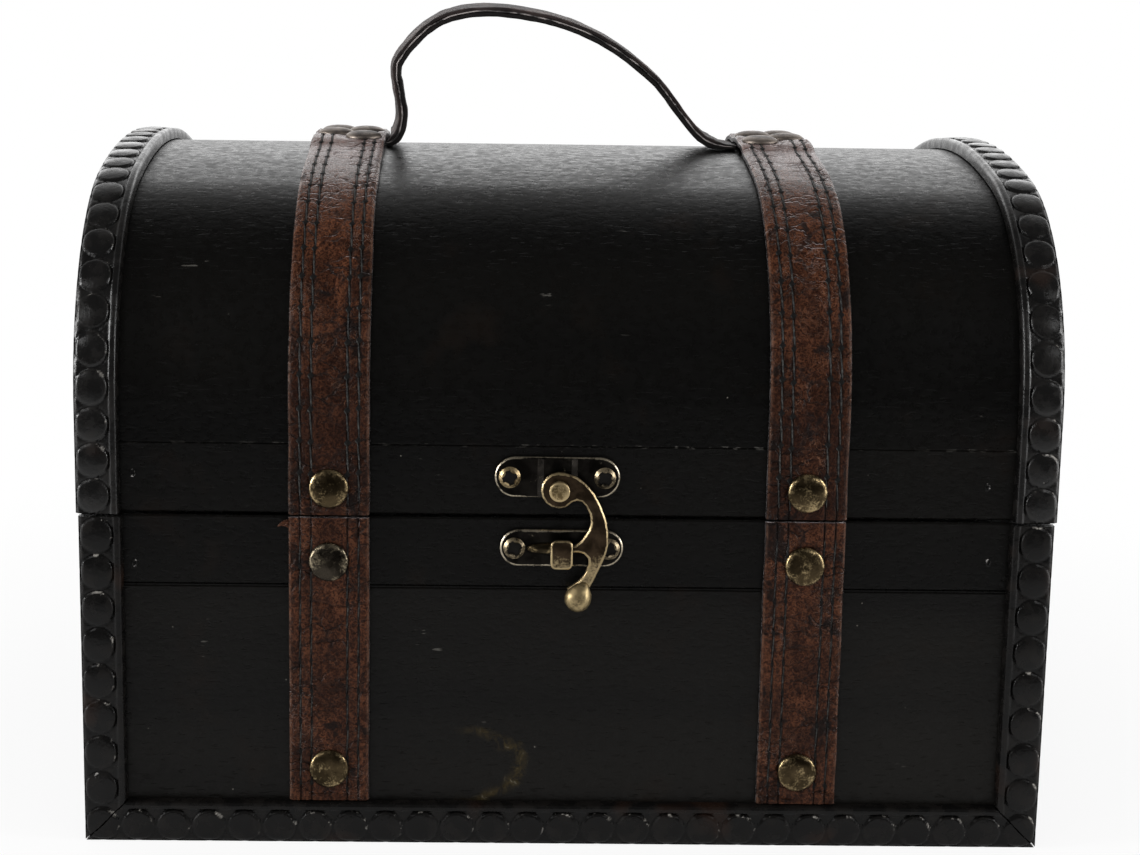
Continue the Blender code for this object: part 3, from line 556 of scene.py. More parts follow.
class Paint:
    """One material, mixed from nodes that all come from one method."""

    def __init__(self, name, tree=None):
        if tree is None:
            self.material = bpy.data.materials.new(name)
            self.material.use_nodes = True
            tree = self.material.node_tree
        self.tree = tree
        self.tree.nodes.clear()
        self.colour = None

    def node(self, kind, settings=None, sockets=None, output=0):
        made = self.tree.nodes.new("ShaderNode" + kind)
        for name, value in (settings or {}).items():
            setattr(made, name, value)
        for place, value in (sockets or {}).items():
            if isinstance(value, Wire):
                self.tree.links.new(value.socket, made.inputs[place])
            elif isinstance(value, tuple) and len(value) == 3 and made.inputs[place].type == "RGBA":
                made.inputs[place].default_value = (*value, 1.0)
            else:
                made.inputs[place].default_value = value
        return Wire(self, made.outputs[output]) if made.outputs else None

    def place(self):
        return self.node("TexCoord", output=3)

    def axis(self, name):
        return self.node("SeparateXYZ", None, {0: self.place()}, "XYZ".index(name))

    def noise(self, vector, size, detail=2.0, rough=0.5, swirl=0.0):
        return self.node("TexNoise", None, {
            "Vector": vector, "Scale": 1 / size, "Detail": detail, "Roughness": rough,
            "Distortion": swirl})

    def cells(self, vector, size, feature="F1", output=0):
        sockets = {"Vector": vector, "Scale": 1 / size}
        return self.node("TexVoronoi", {"feature": feature}, sockets, output)

    def spots(self, vector, cell, radius, rarity):
        """Small round spots in some of the cells of a random pattern."""
        near = 1 - self.cells(vector, cell).step(radius / cell * 0.6, radius / cell)
        chance = self.node("SeparateColor", None, {0: self.cells(vector, cell, output=1)})
        return near * chance.step(rarity, rarity + 0.02)

    def mark(self, name):
        return self.node("Attribute", {"attribute_name": name}, output=2)

    def mix(self, share, first, second):
        return self.node("Mix", {"data_type": "RGBA"}, {0: share, 6: first, 7: second}, 2)

    def coat(self, share, colour):
        """Lays a colour over the colour so far, as thickly as the share says."""
        self.colour = self.mix(share, self.colour, colour)

    def bump(self, height, depth, strength=1.0):
        return self.node("Bump", None, {"Strength": strength, "Distance": depth, "Height": height})

    def finish(self, rough, shine=0.5, relief=None, more=None):
        """Ends the material in one shader; shine is its specular level, and more its other values."""
        sockets = {"Base Color": self.colour, "Roughness": rough, "Specular IOR Level": shine}
        if relief is not None:
            sockets["Normal"] = relief
        sockets.update(more or {})
        self.node("OutputMaterial", None, {0: self.node("BsdfPrincipled", None, sockets)})
        return self.material


# Finishes

def bare_patch(paint, place):
    """Ring of paler scuffed wood low on the front panel."""
    near = (place + PATCH_SHIFT) * PATCH_STRETCH
    reach = paint.node("VectorMath", {"operation": "LENGTH"}, {0: near}, 1)
    reach = reach + (paint.noise(place, 0.007, 3, 0.6, 0.8) - 0.5) * 0.55
    ring = (1 - abs(reach - 0.95).step(0, 0.24)) * paint.axis("X").step(*PATCH_FADE)
    streaks = paint.noise(place * (1, 1, 0.6), 0.0018, 4, 0.65, 0.8)
    paint.coat(ring * streaks.step(0.36, 0.60) * 0.85, (0.034, 0.024, 0.0085))
    paint.coat(ring * streaks.step(0.60, 0.66) * 0.7, (0.11, 0.10, 0.075))


def rubbed_line(paint, place, height):
    """Broken pale line where the edge of a rail is rubbed."""
    band = 1 - abs(paint.axis("Z") - height).step(*LINE_FADE)
    broken = paint.noise(place * (0.4, 1, 1), 0.0009, 3).step(0.55, 0.66)
    worn = paint.noise(place * (0.3, 1, 1), 0.010, 2).step(0.45, 0.6)
    paint.coat(band * broken * (0.12 + worn * 0.36), (0.10, 0.095, 0.085))


def stained_wood(name, tone=1.0, grain=(0.07, 1, 1), patch=False, line=None):
    """Near-black stain over open grain, with a few pale flecks.

    Patch adds the scuffed ring, and line is the height of a rubbed edge."""
    paint = Paint(name)
    place = paint.place()
    along = place * grain
    fibre = paint.noise(along, 0.0011, 4, 0.6)
    brush = paint.noise(place * (0.8, 1, 1), 0.0019, 4, 0.7)
    pores = paint.noise(along * (2.2, 1, 1), 0.0006, 2, 0.5).step(0.62, 0.72)
    cloud = paint.noise(along, 0.03, 2, 0.5)
    dark = tuple(tone * each for each in (0.0030, 0.0028, 0.0026))
    light = tuple(tone * each for each in (0.0056, 0.0051, 0.0044))
    paint.colour = paint.mix(cloud.step(0.35, 0.7), dark, light)
    brown = paint.noise(place + (0.7, 0.2, 0.4), 0.018, 3, 0.6).step(0.58, 0.75)
    paint.coat(brown * 0.3, (0.0095, 0.0058, 0.0038))
    if patch:
        bare_patch(paint, place)
    if line is not None:
        rubbed_line(paint, place, line)
    paint.coat(paint.spots(place, 0.0062, 0.00020, 0.62) * 0.8, (0.15, 0.14, 0.12))
    scratch = paint.noise(place * (0.22, 1, 1), 0.0011, 2)
    rare = paint.noise(place + (0.2, 0.6, 0.1), 0.016, 2).step(0.66, 0.72)
    paint.coat(scratch.step(0.66, 0.70) * rare * 0.6, (0.09, 0.085, 0.075))
    pebble = paint.noise(place * (0.5, 1, 1), 0.0013, 3, 0.6)
    rough = 0.19 + pebble * 0.10 + brush.step(0.35, 0.68) * 0.18
    height = fibre * 0.16 + brush * 0.7 + pebble * 0.5 - pores * 0.4
    return paint.finish(rough, 0.11, paint.bump(height, 0.00032, 0.6))


def carved_wood(name, rim, shine):
    """The same stain under lacquer, with painted shade making the hollows black and a painted highlight
    making one side of the coins' rims pale.
    """
    paint = Paint(name)
    place = paint.place()
    grime = paint.noise(place, 0.004, 3, 0.6)
    fine = paint.noise(place, 0.0009, 3, 0.6)
    paint.colour = paint.mix(
        grime.step(0.4, 0.7), (0.0030, 0.0028, 0.0027), (0.0066, 0.0057, 0.0051))
    # Painted shade in the hollows round the coins
    paint.coat(paint.mark("hollow") * 0.5, (0.0014, 0.0013, 0.0013))
    # Painted highlight along the lit side of the coins' rims, with brighter glints in flecks
    rub = paint.mark("rub")
    paint.coat(rub * rim, (0.026, 0.024, 0.022))
    bright = rub * paint.noise(place, 0.0026, 3, 0.6).step(0.57, 0.63)
    paint.coat(bright * 0.9, (0.34, 0.32, 0.29))
    brown = paint.noise(place, 0.016, 2).step(0.60, 0.74)
    paint.coat(brown * 0.4, (0.020, 0.0085, 0.0045))
    rough = 0.12 + grime.step(0.35, 0.65) * 0.18 + fine * 0.10
    return paint.finish(rough, shine, paint.bump(fine * 0.5 + grime, 0.00026, 0.5))


def strap_hide(name, tone=1.0, dim_below=None):
    """Red-brown split leather: fine rust grain on a dark ground, with burnt blotches and wrinkles,
    painted shade in its folds and stitch grooves, and a painted sheen along the top of the lid.

    It darkens below the height dim_below."""
    paint = Paint(name)
    place = paint.place()
    grain = paint.noise(place, 0.00062, 4, 0.72, 0.4)
    broad = paint.noise(place * (1, 0.6, 0.6), 0.007, 3, 0.6, 1.0).step(0.36, 0.64)
    bent = place + paint.noise(place, 0.005, 3) * 0.006
    net = 1 - paint.cells(bent * (0.5, 1, 1), 0.0036, "DISTANCE_TO_EDGE").step(0, 0.10)
    fold = net * paint.noise(place, 0.011, 2).step(0.40, 0.60)
    if dim_below is not None:
        tone = (0.42 + paint.axis("Z").step(dim_below, dim_below + 0.05) * 0.84) * tone
    rust = grain.step(0.30, 0.74) * (0.36 + broad * 0.64) * tone
    curl = 1 - abs(paint.noise(place, 0.0011, 2, 0.5, 0.7) * 2 - 1)
    paint.colour = paint.mix(rust, (0.0070, 0.0027, 0.0019), (0.094, 0.031, 0.0140))
    paint.coat(curl.step(0.84, 1.0) * (0.26 + broad * 0.34) * tone, (0.165, 0.062, 0.029))
    scratch = 1 - abs(paint.noise(place * (1, 1, 1.3), 0.0034, 3, 0.6, 1.4) * 2 - 1)
    pale = scratch.step(0.965, 1.0) * paint.noise(place, 0.012, 2).step(0.50, 0.62)
    paint.coat(pale * 0.5, (0.19, 0.085, 0.045))
    # Painted shade in the folds
    paint.coat(fold * 0.65, (0.004, 0.0022, 0.0018))
    blotch = paint.noise(place + (0.3, 0.1, 0.2), 0.0075, 3, 0.55, 0.4)
    blotch = blotch.step(0.60, 0.66)
    paint.coat(blotch * 0.85, (0.0050, 0.0030, 0.0026))
    # Painted shade along the stitch grooves
    groove = paint.mark("groove")
    paint.coat(groove * 0.9, (0.0028, 0.0022, 0.0022))
    worn = paint.mark("edge") * (0.15 + paint.noise(place, 0.002, 3, 0.6).step(0.42, 0.60) * 0.6)
    paint.coat(worn * 0.6, (0.16, 0.085, 0.055))
    # Painted sheen: the straps' top is coloured pale pink where light glances off it
    top_sheen = paint.axis("Z").step(CROWN - 0.004, CROWN + 0.001)
    paint.coat(top_sheen * (0.20 + grain * 0.25), (0.27, 0.205, 0.195))
    paint.coat(paint.mark("side"), (0.004, 0.0034, 0.0034))
    rough = 0.18 + grain * 0.16 + groove * 0.45 + fold * 0.30 + blotch * 0.08
    height = grain * 0.4 + curl * 0.4 + broad * 0.4 - fold * 1.1 + pale * 0.4
    return paint.finish(rough, 0.10, paint.bump(height, 0.00030, 0.9), {
        "Sheen Weight": 0.38, "Sheen Roughness": 0.17, "Sheen Tint": (1.0, 0.90, 0.91)})


def handle_hide():
    """Worn dark leather of the carrying strip, creased along its face, its top face streaked pale by
    wear and by a painted highlight.
    """
    paint = Paint("handle_hide")
    place = paint.place()
    along = place * (0.16, 1, 0.16)
    streaks = paint.noise(along, 0.0017, 5, 0.68, 0.5)
    broad = paint.noise(place, 0.006, 3, 0.6, 0.6)
    face = paint.mark("face")
    paint.colour = paint.mix(
        streaks.step(0.35, 0.7), (0.008, 0.0058, 0.0056), (0.030, 0.020, 0.018))
    # Pale streaks on the top face: part wear, part painted highlight
    pale = face * streaks.step(0.46, 0.58) * (0.2 + broad.step(0.38, 0.6) * 0.8)
    paint.coat(pale * 0.6, (0.24, 0.18, 0.165))
    return paint.finish(0.46 + streaks * 0.25, 0.20, paint.bump(streaks, 0.0007, 0.9))


def painted_edge():
    """Black edge paint on cut leather."""
    paint = Paint("painted_edge")
    fine = paint.noise(paint.place(), 0.0012, 3, 0.6)
    paint.colour = paint.mix(fine, (0.003, 0.0028, 0.0028), (0.012, 0.0098, 0.0092))
    return paint.finish(0.32 + fine * 0.15, 0.30, paint.bump(fine, 0.0002, 0.4))


def filler_board():
    """Pale filler that shows as a thin line between the handle's two leathers."""
    paint = Paint("filler_board")
    fine = paint.noise(paint.place(), 0.004, 3, 0.6)
    paint.colour = paint.mix(fine.step(0.40, 0.62), (0.02, 0.018, 0.018), (0.30, 0.27, 0.26))
    return paint.finish(0.6)


def waxed_thread():
    paint = Paint("waxed_thread")
    fine = paint.noise(paint.place(), 0.0009, 3, 0.6)
    paint.colour = paint.mix(fine.step(0.42, 0.65), (0.006, 0.006, 0.0058), (0.038, 0.038, 0.035))
    return paint.finish(0.62, 0.3, paint.bump(fine, 0.0001, 0.4))


def aged_brass(name, patina, worn, cover, rough=0.3, shine_below=None):
    """Brass under a dark patina that is rubbed through in clouds; cover is how much stays dark.

    It is rubbed further below the height shine_below."""
    paint = Paint(name)
    place = paint.place()
    cloud = paint.noise(place, 0.0030, 4, 0.62, 0.5)
    specks = paint.noise(place, 0.00045, 3, 0.6)
    bare = cloud * 0.62 + specks * 0.38 + paint.mark("rubbed") * 0.26
    if shine_below is not None:
        bare = bare + (1 - paint.axis("Z").step(shine_below - 0.010, shine_below)) * 0.30
    rubbed = bare.step(cover - 0.09, cover + 0.11)
    deep = tuple(0.5 * each for each in patina)
    warm = tuple(1.5 * each for each in patina)
    broad = paint.noise(place + (0.3, 0.3, 0.3), 0.0042, 3, 0.6, 0.4)
    paint.colour = paint.mix(broad.step(0.36, 0.66), deep, warm)
    paint.coat(rubbed, worn)
    relief = paint.bump(specks * 0.5 + cloud, 0.00008, 0.5)
    return paint.finish(rough + specks * 0.18 - rubbed * 0.06, relief=relief, more={"Metallic": 1.0})


def nail_mark():
    """Dark dent of a small nail with its edge chipped pale."""
    paint = Paint("nail_mark")
    chips = paint.noise(paint.place(), 0.0011, 2, 0.5).step(0.55, 0.60) * paint.mark("chipped")
    paint.colour = paint.mix(chips, (0.0030, 0.0028, 0.0026), (0.22, 0.21, 0.20))
    return paint.finish(0.35, 0.2)


def recess_black(name, high):
    """Dirt and shadow at the bottom of small holes."""
    paint = Paint(name)
    fine = paint.noise(paint.place(), 0.0006, 2)
    paint.colour = paint.mix(fine, (0.0022, 0.0019, 0.0017), (high, high * 0.85, high * 0.7))
    return paint.finish(0.75, 0.2)


# Wood

def lid_dome(wood):
    """Bent sheet over the lid's curve, with finer steps than its node."""
    foot = DOME_LOW.z - LID_BOTTOM
    corners = ((-LID_HALF_WIDTH, 0), (LID_HALF_WIDTH, 0),
               (LID_HALF_WIDTH, -SHEET_THICKNESS), (-LID_HALF_WIDTH, -SHEET_THICKNESS))

    def place(step, share):
        x, out = corners[step]
        return on_lid(x, foot + share * 2 * (HALF_GIRTH - foot), out)
    made = bar("bent_sheet", 4, (9, 17), place, wood)
    done(made, "lid", ("lid_dome",))


def carved_face(across, along):
    """Height of the carving as a share of the moulding's rise; along is 0 at a coin's middle."""
    middle = COIN_WIDTH / 2
    far = ((abs(across - middle) / middle) ** COIN_ROUNDNESS
           + (abs(along) * 2 / COIN_LENGTH_SHARE) ** COIN_ROUNDNESS) ** (1 / COIN_ROUNDNESS)
    coin = COIN_EDGE_SHARE + (1 - COIN_EDGE_SHARE) * max(0.0, 1 - far * far)
    coin += COIN_TILT_SHARE * (across / middle - 1)
    height = coin + (COIN_SEAT_SHARE - coin) * smooth_step(far, 0.90, 0.99)
    height -= COIN_GROOVE_SHARE * (1 - smooth_step(abs(far - 0.965), 0.0, 0.065))
    fillet = smooth_step(across, COIN_WIDTH * 0.985, COIN_WIDTH * 1.04)
    height += (FILLET_SHARE - height) * fillet
    height *= 0.74 + 0.26 * smooth_step(across, 0, MOULDING_WIDTH * 0.10)
    height *= 1 - 0.5 * smooth_step(across, MOULDING_WIDTH * 0.95, MOULDING_WIDTH)
    return height, far, fillet


def moulding(name, coins, place, wood, inward=1):
    """Strip of carved coins; place turns (along share, across, out) into a point.

    Inward is the sign of the way across towards the side of the rims that gets a painted highlight."""
    ring = len(ACROSS_SHARES) + 2

    def across_of(step):
        if step == 0:
            return 0.0
        if step == ring - 1:
            return MOULDING_WIDTH
        return ACROSS_SHARES[step - 1] * MOULDING_WIDTH

    def face_of(step, share):
        return carved_face(across_of(step), (share * coins) % 1 - 0.5)

    # Painted highlight on the side of each coin's rim that catches the light
    def rub(step, share):
        far, fillet = face_of(step, share)[1:]
        rim = smooth_step(far, 0.85, 0.91) * (1 - smooth_step(far, 0.92, 0.97)) * (1 - fillet)
        side = inward * (across_of(step) / COIN_WIDTH - 0.5) + (share * coins) % 1 - 0.5
        return rim * smooth_step(side, 0.05, 0.6)

    # Where the hollow round a coin takes painted shade
    def hollow(step, share):
        far, fillet = face_of(step, share)[1:]
        return (1 - smooth_step(abs(far - 0.97), 0.03, 0.08)) * (1 - fillet)

    def put(step, share):
        across = across_of(step)
        out = 0.0
        if 0 < step < ring - 1:
            out = MOULDING_RISE * carved_face(across, (share * coins) % 1 - 0.5)[0]
            out += CARVING_UNEVENNESS * wander(share * coins * 0.9, across * 300, coins)
        return place(share, across, FIT + out)
    return bar(name, ring, (coins - 1, COIN_CUTS), put, wood, rub=rub, hollow=hollow)


def trim(made, corner, keep):
    """Cuts a moulding to its mitre, and keeps the side that the keep vector points to."""
    with editing(made, action="SELECT"):
        bpy.ops.mesh.bisect(
            plane_co=corner + keep * FIT / 2, plane_no=keep, use_fill=True, clear_inner=True)


def mouldings(wood, arch_wood):
    """Carved strips round the body's front and back, mitred at their feet, and over the lid's ends."""
    for face, face_word in FACES:
        at = on_body(face)
        for side, word in SIDES:
            node = "body_" + face_word + "_moulding_" + word

            def upright(share, across, out):
                return at(side * (BODY_HALF_WIDTH - across), share * BODY_HEIGHT, out)
            made = moulding(
                "carved_upright_" + face_word + "_" + word, round(BODY_HEIGHT / COIN_PITCH),
                upright, wood, side * face)
            trim(made, Vector((side * BODY_HALF_WIDTH, 0, 0)), Vector((side, 0, 1)).normalized())
            done(made, "box", (node,), 60)
        node = "body_" + face_word + "_moulding_bottom"

        def lying(share, across, out):
            return at((share * 2 - 1) * BODY_HALF_WIDTH, across, out)
        made = moulding(
            "carved_base_" + face_word, round(2 * BODY_HALF_WIDTH / COIN_PITCH), lying, wood)
        for side in (-1, 1):
            trim(made, Vector((side * BODY_HALF_WIDTH, 0, 0)), Vector((-side, 0, -1)).normalized())
        done(made, "box", (node,), 60)
    for side, word in SIDES:
        node = "lid_" + word + "_moulding"

        def arched(share, across, out):
            return on_lid(side * (LID_HALF_WIDTH - across), share * 2 * HALF_GIRTH, out)
        made = moulding(
            "carved_arch_" + word, round(2 * HALF_GIRTH / COIN_PITCH), arched, arch_wood, -side)
        done(made, "lid", (node,), 60)


def joint_lines(wood):
    """Lacquer that bridges the joints above and below the rails, a hair behind the front."""
    for word, body, low, high in (
            ("lid", "lid", LID_RAIL_TOP, DOME_LOW.z), ("body", "box", PANEL_HIGH.z, BODY_RAIL_FOOT)):
        half = BODY_HALF_WIDTH - MOULDING_WIDTH
        low, high = min(low, high), max(low, high)
        near, far = -HALF_DEPTH + FIT / 8, -HALF_DEPTH + 5 * FIT
        corners = ((near, high), (near, low), (far, low), (far, high))

        def place(step, share):
            depth, level = corners[step]
            depth += JOINT_UNEVENNESS * wander(share * 60, level * 900, 2)
            return Vector(((share * 2 - 1) * half, depth, level))
        done(bar("joint_line_" + word, 4, (9, 3), place, wood), body)


def nail_marks(finish):
    """Shallow dents with chipped rims where small nails went in."""
    dent = start("nail_mark", bpy.ops.mesh.primitive_cylinder_add, vertices=14, radius=NAIL_RADIUS,
                 depth=FIT)
    with editing(dent, "FACE") as mesh:
        pick(mesh.faces, lambda face: face.normal.z > 0.9)
        bpy.ops.mesh.inset(thickness=NAIL_RADIUS * 0.35)
        bpy.ops.transform.translate(value=(0, 0, FIT * 0.25))
        bpy.ops.mesh.inset(thickness=NAIL_RADIUS * 0.3)
        bpy.ops.transform.translate(value=(0, 0, -FIT * 0.8))
    for number, (x, height, raised) in enumerate(NAIL_MARKS):
        made = twin(dent, "nail_mark_" + str(number + 1))
        for point in made.data.vertices:
            spread = 1 + 0.4 * wander(point.co.x * 900, point.co.y * 900, number * 3.1)
            point.co.x *= spread * 0.8
            point.co.y *= spread * 1.2
        note(made, "chipped", lambda co: smooth_step(math.hypot(co.x, co.y) / NAIL_RADIUS, 0.45, 0.7))
        out = HALF_DEPTH + (FIT + MOULDING_RISE * 0.86 if raised else 0)
        made.data.transform(stand((x, -out, height), (0, -1, 0)))
        wear(made, finish)
        done(made, "lid" if height > LID_BOTTOM else "box")
    bpy.data.objects.remove(dent)


# Leather

def strap_shares():
    """Shares of the strap's width at which its section has points, closer about each stitch row."""
    shares = [0.0, 0.012, 0.04, 0.085, 0.36, 0.43, 0.5, 0.57, 0.65, 0.8, 0.915, 0.96, 0.988, 1.0, 0.21]
    for row in STITCH_ROW_SHARES:
        shares += [row + GROOVE_SHARE * part for part in (-1.0, -0.5, 0.0, 0.5, 1.0)]
    return sorted(shares)


def groove_at(share):
    nearest = min(abs(share - row) for row in STITCH_ROW_SHARES)
    return 1 - smooth_step(nearest, 0.0, GROOVE_SHARE)


def strap_relief(share, along, seed):
    """Height of the leather's face above its back."""
    edge = min(share, 1 - share)
    height = STRAP_THICKNESS * (0.62 + 0.38 * smooth_step(edge, 0.0, 0.04))
    height -= GROOVE_DEPTH * groove_at(share)
    height += WRINKLE_DEPTH * wander(share * 5, along * 220, seed)
    height += WRINKLE_DEPTH * 0.6 * wander(share * 16, along * 700, seed + 5)
    return height


def strap(name, length, place, seed, leather, creases=()):
    """Strap about x 0; place turns (x, along, out) into a point."""
    shares = strap_shares()
    ring = len(shares) + 2

    def share_of(step):
        return 0.0 if step == 0 else 1.0 if step == ring - 1 else shares[step - 1]

    def put(step, share):
        part = share_of(step)
        along = share * length
        x = (part - 0.5) * STRAP_WIDTH
        x += EDGE_WANDER * wander(part * 1.5, along * 90, seed) * (0.3 + abs(part - 0.5) * 1.4)
        out = 0.0
        if 0 < step < ring - 1:
            out = strap_relief(part, along, seed)
            for crease in creases:
                bend = crease + CREASE_BEND * wander(part * 4, seed, 1)
                out -= CREASE_DEPTH * (1 - smooth_step(abs(along - bend), 0, CREASE_WIDTH))
        return place(x, along, out)

    def groove(step, share):
        return groove_at(share_of(step)) if 0 < step < ring - 1 else 0
    return bar(name, ring, (9, max(3, round(length / STRAP_STEP))), put, leather, groove=groove,
               edge=lambda step, share: 1.0 if step in (2, ring - 3) else 0.0,
               side=lambda step, share: 1.0 if step in (0, 1, ring - 2, ring - 1) else 0.0)


def stitch(thread, hole_black):
    """One stitch with its knot and the dark hole it dips into, flat, along Y from 0."""
    # The hole is a flat dark lens: dirt and painted shade in the needle hole
    hole = start("hole", bpy.ops.mesh.primitive_uv_sphere_add, segments=4, ring_count=4,
                 radius=HOLE_RADIUS)
    hole.data.transform(Matrix.Translation((0, STITCH_PITCH - STITCH_SLANT, GROOVE_DEPTH * 0.35))
                        @ Matrix.Diagonal((0.85, 0.95, 0.13, 1)))
    wear(hole, hole_black)
    parts = []
    for length, x, y in ((STITCH_LENGTH, 0, STITCH_LENGTH / 2),
                         (KNOT_LENGTH, -2.1 * THREAD_RADIUS, STITCH_LENGTH + KNOT_LENGTH * 0.4)):
        made = start("thread", bpy.ops.mesh.primitive_uv_sphere_add, segments=6, ring_count=6,
                     radius=THREAD_RADIUS)
        made.data.transform(Matrix.Rotation(math.pi / 2, 4, "X"))
        stretch = length / 2 - THREAD_RADIUS
        for point in made.data.vertices:
            reach = point.co.y / THREAD_RADIUS
            point.co.y += stretch * math.copysign(min(1.0, abs(reach) * 1.25), reach)
            point.co.x -= STITCH_SLANT * 2 * point.co.y / length
            point.co += Vector((x, y, 0))
        wear(made, thread)
        parts.append(made)
    return joined(parts + [hole], "stitch")


def stitching(name, length, place, seed, finishes, body, depth=0.0):
    """Four rows of stitches laid over a strap; place turns (x, along, out) into a point."""
    made = stitch(*finishes)
    count = int((length - STITCH_PITCH / 2) / STITCH_PITCH)
    array(made, count, (0, STITCH_PITCH, 0))
    rows = STITCH_ROW_SHARES
    array(made, 2, ((rows[1] - rows[0]) * STRAP_WIDTH, 0, 0))
    array(made, 2, ((rows[2] - rows[0]) * STRAP_WIDTH, 0, 0))
    margin = (length - count * STITCH_PITCH) / 2
    for point in made.data.vertices:
        x, along, out = point.co
        row = min(range(4), key=lambda each: abs(x / STRAP_WIDTH - (rows[each] - rows[0])))
        along += margin + STITCH_PITCH * 0.35 * wander(row * 3.7, seed, 2)
        turn = int(along / STITCH_PITCH)
        x += (rows[0] - 0.5) * STRAP_WIDTH + STITCH_WANDER * wander(turn * 0.7, row * 2.3, seed)
        along = min(max(along, THREAD_RADIUS), length - THREAD_RADIUS)
        point.co = place(x, along, STRAP_THICKNESS - GROOVE_DEPTH * 0.35 - depth + out)
    face_out(made)
    made.name = name
    done(made, body, sharp=80)


def strap_base(girth):
    """How far a lid strap's underside stands off the sheet: more where it covers a handle tab."""
    lift = TAB_THICKNESS + FIT
    past = abs(girth - HALF_GIRTH) - HUMP_REACH
    return FIT + lift * (1 - smooth_step(past, 0, STRAP_RAMP))


def crown_studs():
    """Middles (x, y) of the studs on top of the lid."""
    return [place_of(name)[2].xy for name in frame["nodes"] if name.startswith("handle_stud")]


def swell(x, girth, middles):
    """How far a lid strap bulges over the handle's tab, round the studs that hold it down."""
    past = abs(girth - HALF_GIRTH) - HUMP_REACH
    over = 1 - smooth_step(past, -HUMP_EASE, STRAP_RAMP)
    spot = Vector((x, girth - HALF_GIRTH))
    near = min((spot - middle).length for middle in middles)
    return SWELL * over * smooth_step(near, STUD_RADIUS * 0.9, STUD_RADIUS * 1.7)


def leather_shred(leather):
    """Torn sliver that curls away from the left strap just under the seam."""
    ring = 6
    root = Vector((-STRAP_CENTRE - STRAP_WIDTH / 2, -HALF_DEPTH - FIT - STRAP_THICKNESS / 2,
                   BODY_HEIGHT - SHRED_DROP))

    def place(step, share):
        turn = 2 * math.pi * step / ring
        width = SHRED_WIDTH / 2 * (1 - share * 0.85) * math.cos(turn)
        thick = SHRED_THICKNESS / 2 * (1 - share * 0.6) * math.sin(turn)
        curl = share * 1.9
        run = SHRED_LENGTH * share
        return root + Vector((
            FIT - run * 0.85, -thick - SHRED_LIFT * math.sin(curl), width + run * 0.35 * math.cos(curl)))
    made = bar("leather_shred", ring, (7,), place, leather)
    for name in ("groove", "side"):
        note(made, name, lambda co: 0.0)
    note(made, "edge", lambda co: smooth_step(root.x - co.x, SHRED_LENGTH * 0.4, SHRED_LENGTH))
    done(made, "box", sharp=60)


def straps(lid_leather, body_leather, finishes):
    """Two straps over the lid and four down the body, each with its stitches."""
    middles = crown_studs()
    for side, word in SIDES:
        centre = side * STRAP_CENTRE

        def over_lid(x, along, out):
            lift = strap_base(along) + swell(centre + x, along, middles)
            return on_lid(centre + x, along, lift + out)
        made = strap(
            "lid_leather_" + word, 2 * HALF_GIRTH, over_lid, side + 3, lid_leather, CREASES[word])
        done(made, "lid", ("lid_strap_" + word,), 50)
        stitching("lid_stitches_" + word, 2 * HALF_GIRTH, over_lid, side + 3, finishes, "lid")
        for face, face_word in FACES:
            at = on_body(face)

            def over_body(x, along, out):
                return at(centre + x, BODY_HEIGHT - along, FIT + out)
            length = BODY_HEIGHT - STRAP_FOOT
            seed = side + face * 5 + 20
            place_word = face_word + "_" + word
            made = strap("body_leather_" + place_word, length, over_body, seed, body_leather)
            done(made, "box", ("body_" + face_word + "_strap_" + word,), 50)
            stitching(
                "body_stitches_" + place_word, length, over_body, seed, finishes, "box",
                GROOVE_DEPTH * 0.5)


def handle_path(steps):
    """Middle line (x, z) of the handle strip, a smooth curve through its marks."""
    base = CROWN + FIT + HANDLE_THICKNESS / 2
    marks = [Vector((HANDLE_HALF_SPAN * span, base + HANDLE_RISE * rise))
             for span, rise in zip(HANDLE_SPAN_SHARES, HANDLE_RISE_SHARES)]
    padded = [2 * marks[0] - marks[1]] + marks + [2 * marks[-1] - marks[-2]]
    path = []
    for index in range(1, len(padded) - 2):
        before, this, following, after = padded[index - 1:index + 3]
        for step in range(steps):
            t = step / steps
            path.append(0.5 * (
                2 * this + (following - before) * t
                + (2 * before - 5 * this + 4 * following - after) * t ** 2
                + (3 * this - before - 3 * following + after) * t ** 3))
    path.append(marks[-1])
    return path


def handle_layer(name, low, high, inset, finish, path, replaces=()):
    """One leather of the handle, between two shares of its thickness, narrower by the inset."""
    half = HANDLE_WIDTH / 2 - inset
    soft = (high - low) * 0.22
    turn = (high - low) * HANDLE_LEATHER * 0.3
    points = [(-half, low + soft), (-half, high - soft), (-half + turn, high)]
    points += [(half * part, high) for part in (-0.72, -0.36, 0.0, 0.36, 0.72)]
    points += [(half - turn, high), (half, high - soft), (half, low + soft), (half - turn, low)]
    points += [(0.0, low), (-half + turn, low)]
    tangents = []
    for index in range(len(path)):
        ahead = path[min(index + 1, len(path) - 1)]
        behind = path[max(index - 1, 0)]
        tangents.append((ahead - behind).normalized())

    def put(step, share):
        index = round(share * (len(path) - 1))
        y, level = points[step]
        normal = Vector((-tangents[index].y, tangents[index].x))
        free = smooth_step(min(share, 1 - share), 0.0, 0.06)
        up = (level - 0.5) * HANDLE_LEATHER * (0.4 + 0.6 * free) - 0.3 * HANDLE_THICKNESS * (1 - free)
        up += y * (HANDLE_TWIST_START + (HANDLE_TWIST_END - HANDLE_TWIST_START) * share) * free
        up += HANDLE_UNEVENNESS * wander(share * 46, y * 170, low * 9) * free
        y += HANDLE_EDGE_WANDER * wander(share * 26, low * 4, 3)
        spot = path[index] + normal * up
        return Vector((spot.x, y, spot.y))
    made = bar(name, len(points), (len(path) - 2,), put, finish,
               face=lambda step, share: 1.0 if 2 <= step <= 8 else 0.0)
    done(made, None, replaces, 50)
    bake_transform(made)


